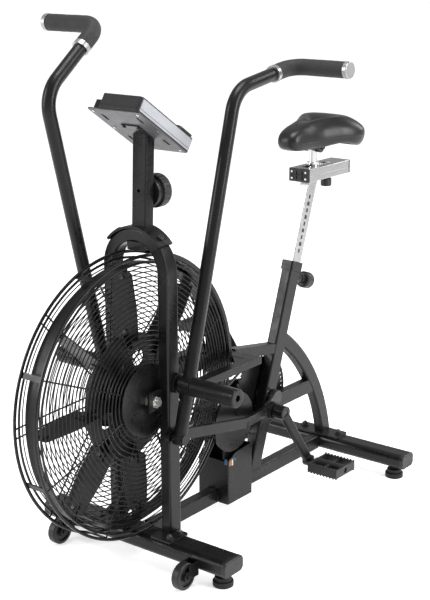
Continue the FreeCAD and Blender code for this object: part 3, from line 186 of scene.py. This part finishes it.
def foam_material():
    """Closed foam: small dimples over short rings."""
    mat, tree, shader, coords = new_material("grip_foam")
    cells = tree.nodes.new("ShaderNodeTexVoronoi")
    cells.inputs["Scale"].default_value = 420.0
    tree.links.new(coords.outputs["Object"], cells.inputs["Vector"])
    drift = noise_node(tree, coords, 35.0, 5.0, 0.6)
    mix = two_colours(tree, spread(tree, drift.outputs["Fac"], 0.0, 1.0), grey(0.006), grey(0.013))
    bump_node = tree.nodes.new("ShaderNodeBump")
    bump_node.inputs["Strength"].default_value = 0.45
    bump_node.inputs["Distance"].default_value = 0.0006
    tree.links.new(cells.outputs["Distance"], bump_node.inputs["Height"])
    tree.links.new(mix.outputs[2], shader.inputs["Base Color"])
    tree.links.new(spread(tree, drift.outputs["Fac"], 0.6, 0.8), shader.inputs["Roughness"])
    tree.links.new(bump_node.outputs["Normal"], shader.inputs["Normal"])
    return mat


FOAM = foam_material()

SLOT_LOOK = {
    "black_powder_coat": POWDER, "cage_wire_black": WIRE, "fan_black": FAN,
    "brushed_aluminium": ALUMINIUM, "chrome": CHROME, "zinc_steel": ZINC, "dark_steel": DARK_STEEL,
    "black_plastic": PLASTIC, "grey_plate": GREY_PLATE, "black_rubber": RUBBER, "grip_foam": FOAM,
    "black_vinyl": VINYL, "display_glass": GLASS,
}
NODE_LOOK = {"frame_bolts": DARK_STEEL, "fan_screws": DARK_STEEL}
SMOOTH_LIMIT = math.radians(32)


def dress_nodes():
    """Every CAD node takes the finish of its material slot."""
    for part in frame["record"]["subparts"]:
        node = NODES[part["node"]]
        node.data.materials.clear()
        look = NODE_LOOK.get(part["node"], SLOT_LOOK[part["material_slot"]])
        node.data.materials.append(look)


dress_nodes()


# Helpers for the added pieces ---------------------------------------------------------
def add_piece(name, mesh, look, body, sharp_angle=None):
    """Puts a mesh in the scene, smooth but for edges past sharp_angle, on its body and slot."""
    mesh.materials.clear()
    mesh.materials.append(look)
    for poly in mesh.polygons:
        poly.use_smooth = True
    if sharp_angle:
        mesh.set_sharp_from_angle(angle=sharp_angle)
    obj = bpy.data.objects.new(name, mesh)
    bpy.context.scene.collection.objects.link(obj)
    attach(obj, body)
    return obj


def mesh_piece(name, verts, faces, look, body):
    mesh = bpy.data.meshes.new(name)
    mesh.from_pydata([tuple(v) for v in verts], [], faces)
    mesh.validate()
    mesh.update()
    return add_piece(name, mesh, look, body)


def frame_from(x_dir, z_dir, origin):
    """A matrix whose X and Z point along two directions."""
    z = Vector(z_dir).normalized()
    y = z.cross(Vector(x_dir)).normalized()
    x = y.cross(z)
    return Matrix(((x.x, y.x, z.x, origin[0]), (x.y, y.y, z.y, origin[1]),
                   (x.z, y.z, z.z, origin[2]), (0, 0, 0, 1)))


class Parts:
    """Collects small solids into one mesh."""

    def __init__(self):
        self.bm = bmesh.new()

    def box(self, size, place, bevel=0.0003):
        made = bmesh.ops.create_cube(self.bm, size=1.0)
        verts = made["verts"]
        bmesh.ops.transform(self.bm, matrix=place @ Matrix.Diagonal((*size, 1.0)), verts=verts)
        if bevel:
            edges = list({e for v in verts for e in v.link_edges})
            bmesh.ops.bevel(self.bm, geom=edges, offset=bevel, segments=2, affect="EDGES")

    def disc(self, radius, height, place, sides, bevel=0.0003):
        made = bmesh.ops.create_cone(self.bm, cap_ends=True, segments=sides, radius1=radius,
                                     radius2=radius, depth=height)
        verts = made["verts"]
        bmesh.ops.transform(self.bm, matrix=place, verts=verts)
        if bevel:
            edges = [e for e in {e for v in verts for e in v.link_edges}
                     if len(e.link_faces) == 2 and e.calc_face_angle(0) > 0.6]
            bmesh.ops.bevel(self.bm, geom=edges, offset=bevel, segments=2, affect="EDGES")

    def torus(self, ring, tube, place, around=48, section=10):
        grid = []
        for i in range(around):
            a = 2 * math.pi * i / around
            row = []
            for j in range(section):
                b = 2 * math.pi * j / section
                r = ring + tube * math.cos(b)
                point = Vector((r * math.cos(a), r * math.sin(a), tube * math.sin(b)))
                row.append(self.bm.verts.new(place @ point))
            grid.append(row)
        for i in range(around):
            here, beyond = grid[i], grid[(i + 1) % around]
            for j in range(section):
                above = (j + 1) % section
                self.bm.faces.new((here[j], beyond[j], beyond[above], here[above]))

    def finish(self, name, look, body, slot):
        mesh = bpy.data.meshes.new(name)
        bmesh.ops.recalc_face_normals(self.bm, faces=self.bm.faces)
        self.bm.to_mesh(mesh)
        self.bm.free()
        add_piece(name, mesh, look, body, SMOOTH_LIMIT)


# Saddle -------------------------------------------------------------------------------
SADDLE_HALF = ((0.348, 0.0), (0.3495, 0.014), (0.356, 0.026), (0.370, 0.034), (0.396, 0.040),
               (0.425, 0.045), (0.455, 0.054), (0.486, 0.069), (0.516, 0.086), (0.545, 0.099),
               (0.572, 0.102), (0.596, 0.092), (0.611, 0.067), (0.617, 0.034), (0.616, 0.0))
SADDLE_NOSE_Y = 0.348
SADDLE_LENGTH = 0.27
SADDLE_MIDDLE_Y = 0.485
SADDLE_FLOOR_Z = 0.9396
SADDLE_STEPS = 64             # points along each side of the outline


def saddle_rim(t):
    """Half-width and position of the outline at t from 0, the nose, to 1, the tail."""
    span = len(SADDLE_HALF) - 1
    i = min(int(t * span), span - 1)
    f = t * span - i
    pts = [SADDLE_HALF[max(0, min(span, i + k))] for k in (-1, 0, 1, 2)]
    out = []
    for k in (0, 1):
        a, b, c, d = (p[k] for p in pts)
        out.append(0.5 * (2 * b + (c - a) * f + (2 * a - 5 * b + 4 * c - d) * f * f
                          + (3 * b - a - 3 * c + d) * f ** 3))
    return out


def saddle_profile():
    """Rows from the middle of the top, over the edge and down the skirt to its lip."""
    return ((0.0, 0.0), (0.10, 0.10), (0.20, 0.20), (0.31, 0.30), (0.42, 0.40), (0.53, 0.50),
            (0.64, 0.60), (0.74, 0.70), (0.83, 0.78), (0.90, 0.85), (0.955, 0.92), (0.99, 0.97),
            (1.0, 1.0), (1.0, 1.12), (0.99, 1.28), (0.965, 1.45), (0.93, 1.62), (0.89, 1.78),
            (0.85, 1.92), (0.82, 2.0), (0.79, 2.0), (0.76, 1.92))


def smooth_step(value, low, high):
    t = max(0.0, min(1.0, (value - low) / (high - low)))
    return t * t * (3 - 2 * t)


def saddle_height(y, reach, level):
    """Height of the skin: level 0 to 1 is the top, 1 to 2 the skirt."""
    along = max(0.0, min(1.0, (y - SADDLE_NOSE_Y) / SADDLE_LENGTH))
    rim = 0.945 + 0.010 * along
    lobes = smooth_step(along, 0.12, 0.60)
    crown = 0.986 + 0.005 * smooth_step(along, 0.0, 0.75)
    crown += 0.011 * lobes * math.exp(-((reach - 0.58) / 0.28) ** 2)
    crown -= (0.002 + 0.012 * lobes) * math.exp(-(reach / 0.20) ** 2)
    skirt = 0.919 - 0.008 * smooth_step(along, 0.2, 1.0)
    skirt += 0.014 * math.exp(-((along - 0.63) / 0.17) ** 2)
    if level <= 1.0:
        drop = 1.0 - max(0.0, 1.0 - min(1.0, reach) ** 3.2) ** 0.5
        return crown + (rim - crown) * drop
    fall = math.sin((level - 1.0) * math.pi / 2)
    return rim + (skirt - rim) * fall


def saddle_grid():
    """Points and faces of the skin, from the middle of the top to the lip of the skirt."""
    rows = saddle_profile()
    verts, faces = [], []
    for reach, level in rows:
        for side in (1, -1):
            count = range(SADDLE_STEPS + 1) if side > 0 else range(SADDLE_STEPS - 1, 0, -1)
            for i in count:
                rim_y, rim_x = saddle_rim(i / SADDLE_STEPS)
                y = SADDLE_MIDDLE_Y + (rim_y - SADDLE_MIDDLE_Y) * reach
                verts.append(Vector((rim_x * reach * side, y, saddle_height(y, reach, level))))
    ring = 2 * SADDLE_STEPS
    for r in range(1, len(rows) - 1):
        for i in range(ring):
            j = (i + 1) % ring
            faces.append((r * ring + i, r * ring + j, (r + 1) * ring + j, (r + 1) * ring + i))
    centre = len(verts)
    verts.append(Vector((0, SADDLE_MIDDLE_Y, saddle_height(SADDLE_MIDDLE_Y, 0.0, 0.0))))
    for i in range(ring):
        j = (i + 1) % ring
        faces.append((centre, ring + j, ring + i))
    return verts, faces, ring


def build_saddle():
    """Cushion with two lobes, a soft groove between them and a skirt that tucks under."""
    verts, faces, ring = saddle_grid()
    rows = len(saddle_profile())
    for v in verts:
        wobble = noise.noise(v * 38.0) * 0.0009 + noise.noise(v * 120.0) * 0.0002
        v.z += wobble
        v.x += wobble * 0.5
    last = (rows - 1) * ring
    base = len(verts)
    tuck = 0.94
    for i in range(ring):
        v = verts[last + i]
        y = SADDLE_MIDDLE_Y + (v.y - SADDLE_MIDDLE_Y) * tuck
        verts.append(Vector((v.x * tuck, y, SADDLE_FLOOR_Z)))
    for i in range(ring):
        j = (i + 1) % ring
        faces.append((last + i, last + j, base + j, base + i))
    floor_centre = len(verts)
    verts.append(Vector((0, SADDLE_MIDDLE_Y, SADDLE_FLOOR_Z)))
    for i in range(ring):
        j = (i + 1) % ring
        faces.append((base + i, base + j, floor_centre))
    cushion = mesh_piece("saddle_cushion", verts, faces, VINYL, "saddle")
    mesh = cushion.data
    bm = bmesh.new()
    bm.from_mesh(mesh)
    loose = [v for v in bm.verts if not v.link_faces]
    bmesh.ops.delete(bm, geom=loose, context="VERTS")
    bmesh.ops.remove_doubles(bm, verts=bm.verts, dist=0.00005)
    bmesh.ops.recalc_face_normals(bm, faces=bm.faces)
    bm.to_mesh(mesh)
    bm.free()
    smooth = cushion.modifiers.new("smooth", "SUBSURF")
    smooth.levels = 1
    smooth.render_levels = 1
    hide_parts("saddle")


def swept(name, points, radius, look, body, sides=12):
    """A round strip through points, with filled ends."""
    curve = bpy.data.curves.new(name, "CURVE")
    curve.dimensions = "3D"
    curve.bevel_depth = radius
    curve.bevel_resolution = max(2, sides // 4)
    curve.use_fill_caps = True
    spline = curve.splines.new("POLY")
    spline.points.add(len(points) - 1)
    for p, q in zip(spline.points, points):
        p.co = (q[0], q[1], q[2], 1.0)
    temp = bpy.data.objects.new(name + "_curve", curve)
    bpy.context.scene.collection.objects.link(temp)
    bpy.context.view_layer.update()
    deps = bpy.context.evaluated_depsgraph_get()
    mesh = bpy.data.meshes.new_from_object(temp.evaluated_get(deps))
    bpy.data.objects.remove(temp)
    mesh.name = name
    add_piece(name, mesh, look, body, math.radians(50))


def saddle_seams():
    """Piping at the top edge of the skirt, and the seam down the groove."""
    rim = []
    steps = 90
    inward = 0.986
    for side in (1, -1):
        count = range(steps + 1) if side > 0 else range(steps - 1, -1, -1)
        for i in count:
            rim_y, rim_x = saddle_rim(i / steps)
            y = SADDLE_MIDDLE_Y + (rim_y - SADDLE_MIDDLE_Y) * inward
            rim.append((rim_x * inward * side, y, saddle_height(y, 1.0, 1.17)))
    swept("saddle_piping", rim, 0.0015, VINYL, "saddle")
    groove = []
    for i in range(40):
        y = 0.400 + 0.195 * i / 39
        groove.append((0, y, saddle_height(y, 0.0, 0.0) + 0.0002))
    swept("saddle_seam", groove, 0.0009, STITCH, "saddle", sides=8)


build_saddle()
saddle_seams()


# Handle grips -------------------------------------------------------------------------
LEFT_TILT = math.radians(15.3)
RIGHT_TILT = math.radians(-13.83)
HANDLE_X = 0.132
GRIP_END_X = 0.288
GRIP_RADIUS = 0.0199
GRIP_MOUTH = 0.0163           # radius where the foam meets the tube
GRIP_SIDES = 40


def handle_frame(side):
    """Directions up along the handle and back from it, as it stands at rest."""
    tilt = LEFT_TILT if side > 0 else RIGHT_TILT
    up = Vector((0, math.sin(tilt), math.cos(tilt)))
    back = Vector((0, math.cos(tilt), -math.sin(tilt)))
    return up, back


def handle_point(side, along, behind):
    """A point along the handle from its pivot, and behind its lower tube."""
    name = ("left" if side > 0 else "right") + "_handle_swing"
    pivot = Vector(JOINTS[name]["pos_m"])
    up, back = handle_frame(side)
    return Vector((side * HANDLE_X, pivot.y, pivot.z)) + up * along + back * behind


def grip_path(side):
    """Middle line of the foam, from the alloy ring round the bend to the end cap."""
    bend = handle_point(side, 0.693, 0.0)
    elbow = handle_point(side, 0.787, 0.208)
    slope = (elbow - bend).normalized()
    out = Vector((side, 0, 0))
    reach = 0.040
    start = bend + slope * 0.160
    enter, leave = elbow - slope * reach, elbow + out * reach
    end = Vector((side * GRIP_END_X, elbow.y, elbow.z))
    points = [start.lerp(enter, i / 30) for i in range(30)]
    half = (enter - elbow).angle(leave - elbow) / 2
    inward = ((enter - elbow).normalized() + (leave - elbow).normalized()).normalized()
    centre = elbow + inward * (reach / math.cos(half))
    a, b = enter - centre, leave - centre
    whole = a.angle(b)
    for i in range(25):
        t = i / 24
        spoke = a * math.sin((1 - t) * whole) + b * math.sin(t * whole)
        points.append(centre + spoke / math.sin(whole))
    points += [leave.lerp(end, i / 30) for i in range(1, 31)]
    return points


def grip_ring(centre, along, radius):
    """One ring of the foam's skin, uneven except at the two mouths."""
    tangent = along.normalized()
    u = tangent.cross(Vector((0, 0, 1))).normalized()
    w = tangent.cross(u).normalized()
    ring = []
    for k in range(GRIP_SIDES):
        angle = 2 * math.pi * k / GRIP_SIDES
        direction = u * math.cos(angle) + w * math.sin(angle)
        p = centre + direction * radius
        wobble = noise.noise(p * 60.0) * 0.00035 + noise.noise(p * 240.0) * 0.00012
        ring.append(p + direction * wobble * (1 if radius > 0.0175 else 0))
    return ring


def build_grip(side):
    """Foam sleeve with softly rounded ends, fine rings and an uneven skin."""
    points = grip_path(side)
    dense = []
    for a, b in zip(points, points[1:]):
        for k in range(2):
            dense.append(a.lerp(b, k / 2))
    dense.append(points[-1])
    total = [0.0]
    for a, b in zip(dense, dense[1:]):
        total.append(total[-1] + (b - a).length)
    length = total[-1]
    rings = [grip_ring(dense[0], dense[1] - dense[0], GRIP_MOUTH)]
    for i, p in enumerate(dense):
        along = dense[min(i + 1, len(dense) - 1)] - dense[max(i - 1, 0)]
        edge = min(total[i], length - total[i])
        radius = GRIP_RADIUS - 0.0016 * max(0.0, 1 - edge / 0.003) ** 2
        radius += 0.00018 * math.sin(total[i] / 0.0042 * 2 * math.pi) if edge > 0.01 else 0.0
        rings.append(grip_ring(p, along, radius))
    rings.append(grip_ring(dense[-1], dense[-1] - dense[-2], GRIP_MOUTH))
    verts = [point for ring in rings for point in ring]
    faces = []
    for r in range(len(rings) - 1):
        here, beyond = r * GRIP_SIDES, (r + 1) * GRIP_SIDES
        for k in range(GRIP_SIDES):
            j = (k + 1) % GRIP_SIDES
            faces.append((here + k, here + j, beyond + j, beyond + k))
    name = "left" if side > 0 else "right"
    grip = mesh_piece(name + "_grip_foam", verts, faces, FOAM, name + "_handle")
    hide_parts("grip_" + name)


build_grip(1)
build_grip(-1)


# Seat post scale ----------------------------------------------------------------------
SEAT_LEAN = math.radians(19.26)
SEAT_AXIS = Vector((0, math.sin(SEAT_LEAN), math.cos(SEAT_LEAN)))
SEAT_BACK = Vector((0, math.cos(SEAT_LEAN), -math.sin(SEAT_LEAN)))
SEAT_Y = 0.3262               # a point on the seat tube's middle line
SEAT_Z = 0.4248


def seat_point(z, back=0.0):
    return Vector((0, SEAT_Y + (z - SEAT_Z) * math.tan(SEAT_LEAN), z)) + SEAT_BACK * back


def post_scale():
    """Dark marks up the post's left side, a narrow one and a wide one by turns."""
    marks = Parts()
    for index in range(9):
        centre = seat_point(0.644 + index * 0.0175, -0.002)
        centre.x = 0.01415
        place = frame_from(SEAT_BACK, SEAT_AXIS, centre)
        marks.box((0.0105 if index % 2 else 0.0065, 0.0005, 0.0105), place, 0.0002)
    marks.finish("post_scale", PLASTIC, "seat_post", "black_plastic")


post_scale()


def rail_cap_details():
    """Two ribs and four screw heads on each end cap of the slider rail."""
    low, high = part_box("slider_caps")
    middle = (low.z + high.z) / 2
    ribs, heads = Parts(), Parts()
    for end, way in ((low.y, -1), (high.y, 1)):
        face = end + way * 0.0006
        for x in (-0.009, 0.009):
            ribs.box((0.0022, 0.0018, 0.027), Matrix.Translation((x, face, middle)), 0.0004)
        ribs.box((0.050, 0.0018, 0.0022), Matrix.Translation((0, face, middle)), 0.0004)
        for x in (-0.022, 0.022):
            for z in (-0.009, 0.009):
                turn = frame_from((1, 0, 0), (0, way, 0), Vector((x, face, middle + z)))
                heads.disc(0.0030, 0.0020, turn, sides=20)
    ribs.finish("rail_cap_ribs", PLASTIC, "seat_post", "black_plastic")
    heads.finish("rail_cap_screws", ZINC, "seat_post", "zinc_steel")


rail_cap_details()


# Console details ----------------------------------------------------------------------
CONSOLE_TILT = math.radians(33.7)
DOWN = Vector((0, math.cos(CONSOLE_TILT), -math.sin(CONSOLE_TILT)))
OUT = Vector((0, math.sin(CONSOLE_TILT), math.cos(CONSOLE_TILT)))
CONSOLE_CORNER = Vector((0, -0.2945, 1.1318))
CONSOLE_BACK = -0.0347        # the mounting plate's inner face, out from the top face


def console_place(x, down, out):
    """A point x across, down the face from its front edge, and out from the top face."""
    centre = CONSOLE_CORNER + DOWN * down + OUT * out
    centre.x = x
    return frame_from(Vector((1, 0, 0)), OUT, centre)


def console_case_trim():
    """Silver band on the left side, the case's seam, and the rim round the display."""
    band = Parts()
    band.box((0.0012, 0.198, 0.029), console_place(0.0772, 0.1045, -0.0172), 0.0005)
    band.finish("console_side_band", SILVER_BAND, "frame", "grey_plate")
    seam = Parts()
    seam.box((0.0006, 0.197, 0.0008), console_place(0.0779, 0.1045, -0.0262), 0.0001)
    seam.box((0.112, 0.0008, 0.0008), console_place(0.0175, 0.0, -0.0262), 0.0)
    seam.finish("console_seam", RUBBER, "frame", "black_rubber")
    bezel = Parts()
    for x0, x1, d0, d1 in ((-0.031, 0.069, 0.0185, 0.0225), (-0.031, 0.069, 0.1215, 0.1255),
                           (-0.031, -0.0275, 0.0185, 0.1255), (0.0655, 0.069, 0.0185, 0.1255)):
        bezel.box((x1 - x0, d1 - d0, 0.0016), console_place((x0 + x1) / 2, (d0 + d1) / 2, 0.0004),
                  0.0004)
    bezel.finish("console_bezel", PLASTIC, "frame", "black_plastic")


def console_segments():
    """Four rows of bare display segments."""
    digits = Parts()
    line, thick, depth = 0.0009, 0.0003, -0.0010
    for down, high in ((0.036, 0.011), (0.060, 0.016), (0.086, 0.011), (0.108, 0.009)):
        for column in range(6):
            x = -0.018 + column * 0.0148
            for level in (down, down + high * 0.5):
                digits.box((high * 0.45, line, thick), console_place(x, level, depth), 0.0)
            for way in (-1, 1):
                place = console_place(x + way * high * 0.25, down + high * 0.25, depth)
                digits.box((line, high * 0.42, thick), place, 0.0)
    digits.finish("console_segments", SEGMENT, "frame", "display_glass")


def console_fixings():
    """Screws of the grey plate, and the mast's plate with its four bolts."""
    screws = Parts()
    for x in (-0.066, 0.066):
        for d in (0.018, 0.100, 0.190):
            place = console_place(x, d, CONSOLE_BACK - 0.0034)
            screws.disc(0.0034, 0.0014, place, sides=24)
    screws.finish("console_screws", ZINC, "frame", "zinc_steel")
    bracket = Parts()
    bracket.box((0.052, 0.062, 0.003), console_place(0.0, 0.105, CONSOLE_BACK - 0.0046), 0.0006)
    for x in (-0.0215, 0.0215):
        for d in (0.082, 0.128):
            bracket.disc(0.0042, 0.003, console_place(x, d, CONSOLE_BACK - 0.0074), sides=6)
    bracket.finish("console_mount_plate", POWDER, "frame", "black_powder_coat")


console_case_trim()
console_segments()
console_fixings()


# Small fittings -----------------------------------------------------------------------
def weld_rings():
    """Thin rough beads where round members meet plates."""
    beads = Parts()
    low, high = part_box("bottom_bracket_shell")
    centre = (low + high) / 2
    place = frame_from((0, 1, 0), (1, 0, 0), Vector((0, centre.y, centre.z)))
    for offset in (-0.016, 0.0165):
        beads.torus(0.0212, 0.0016, place @ Matrix.Translation((0, 0, offset)))
    beads.finish("bracket_welds", WELD, "frame", "black_powder_coat")


def connectors():
    """Small plugs on short leads where the two sheets of the drive cover meet, and a strip of painted shade in
    their seam.
    """
    front = 0.0395
    corner = Vector((0.0482, front, 0.152))
    plugs = (("blue", (0.010, 0.085, 0.17), (-0.0050, -0.0018, 0.004), (0.008, 0.004, 0.013)),
             ("orange", (0.25, 0.075, 0.018), (0.0012, 0.0060, 0.001), (0.003, 0.009, 0.014)),
             ("cream", (0.50, 0.42, 0.31), (0.0012, 0.0165, 0.000), (0.003, 0.007, 0.016)))
    for name, colour, offset, size in plugs:
        look = surface("plug_" + name, colour, 0.45, vary=0.2, fine=900.0, bump=0.1)
        plug = Parts()
        place = Matrix.Translation(corner + Vector(offset))
        plug.box(size, place, 0.0007)
        tip = place @ Matrix.Translation((0, 0, size[2] / 2 + 0.001))
        plug.box((size[0] * 0.7, size[1] * 0.5, 0.004), tip, 0.0003)
        plug.finish("drive_plug_" + name, look, "frame", None)
    lead = []
    for i in range(20):
        t = i / 19
        lead.append(corner + Vector((0.0018 + 0.0012 * math.sin(t * 3.1), 0.016 + 0.016 * t,
                                     0.008 + 0.005 * math.sin(t * 6.0))))
    lead_look = surface("lead_blue", (0.05, 0.16, 0.30), 0.4)
    swept("drive_plug_lead", lead, 0.0009, lead_look, "frame", sides=8)
    # Painted shade: a thin black rubber strip set where the two cover sheets meet, standing for the shade inside
    # that gap.
    painted_shade_strip = Parts()
    painted_shade_strip.box((0.0008, 0.0028, 0.108), Matrix.Translation((0.0482, front + 0.0035, 0.098)), 0.0002)
    painted_shade_strip.finish("drive_cover_painted_shade_strip", RUBBER, "frame", "black_rubber")


weld_rings()
connectors()


# Stage --------------------------------------------------------------------------------
def floor_material():
    mat = bpy.data.materials.new("studio_floor")
    mat.use_nodes = True
    shader = mat.node_tree.nodes["Principled BSDF"]
    shader.inputs["Base Color"].default_value = (0.85, 0.85, 0.85, 1.0)
    shader.inputs["Roughness"].default_value = 0.7
    shader.inputs["Specular IOR Level"].default_value = 0.1
    shader.inputs["Emission Color"].default_value = (1.0, 1.0, 1.0, 1.0)
    shader.inputs["Emission Strength"].default_value = 0.58
    return mat


def build_stage():
    """A wide pale floor under a plain white world."""
    mesh = bpy.data.meshes.new("studio_floor")
    reach = 60.0
    corners = [(-reach, -reach, 0), (reach, -reach, 0), (reach, reach, 0), (-reach, reach, 0)]
    mesh.from_pydata(corners, [], [(0, 1, 2, 3)])
    mesh.materials.append(floor_material())
    floor = bpy.data.objects.new("studio_floor", mesh)
    bpy.context.scene.collection.objects.link(floor)
    world = bpy.data.worlds.new("studio_world")
    world.use_nodes = True
    background = world.node_tree.nodes["Background"]
    background.inputs["Color"].default_value = (1.0, 1.0, 1.0, 1.0)
    background.inputs["Strength"].default_value = 0.55
    bpy.context.scene.world = world


def area_light(name, place, target, size, power):
    data = bpy.data.lights.new(name, "AREA")
    data.shape = "RECTANGLE"
    data.size, data.size_y = size
    data.energy = power
    light = bpy.data.objects.new(name, data)
    bpy.context.scene.collection.objects.link(light)
    light.location = place
    light.rotation_euler = (Vector(target) - Vector(place)).to_track_quat("-Z", "Y").to_euler()


build_stage()
area_light("front_softbox", (-2.6, -3.4, 2.2), (0, 0, 0.6), (1.2, 2.6), 95.0)
area_light("side_softbox", (3.8, 0.6, 2.0), (0, 0.1, 0.6), (1.0, 2.6), 110.0)
area_light("rear_softbox", (1.6, 3.6, 2.6), (0, 0.1, 0.7), (1.4, 2.2), 85.0)
area_light("top_softbox", (0.2, -0.2, 3.8), (0, 0, 0.5), (1.6, 1.6), 85.0)


def build_camera():
    """A long lens in front of the fan end, on the rider's left, looking slightly down."""
    data = bpy.data.cameras.new("photo_camera")
    data.lens = 79.0
    data.sensor_width = 36.0
    data.sensor_fit = "AUTO"
    data.shift_x = -0.0248
    data.shift_y = 0.0150
    data.clip_end = 200.0
    camera = bpy.data.objects.new("photo_camera", data)
    bpy.context.scene.collection.objects.link(camera)
    turn, drop, roll = math.radians(37.585), math.radians(16.071), math.radians(-0.175)
    back = Vector((math.sin(turn) * math.cos(drop), -math.cos(turn) * math.cos(drop), math.sin(drop)))
    right = Vector((math.cos(turn), math.sin(turn), 0))
    up = back.cross(right)
    rolled_right = right * math.cos(roll) + up * math.sin(roll)
    rolled_up = back.cross(rolled_right)
    place = Vector((1.9784, -2.4578, 1.4790))
    camera.matrix_world = Matrix(((rolled_right.x, rolled_up.x, back.x, place.x),
                                  (rolled_right.y, rolled_up.y, back.y, place.y),
                                  (rolled_right.z, rolled_up.z, back.z, place.z),
                                  (0, 0, 0, 1)))
    bpy.context.scene.camera = camera


build_camera()
bpy.context.scene.view_settings.view_transform = "Standard"
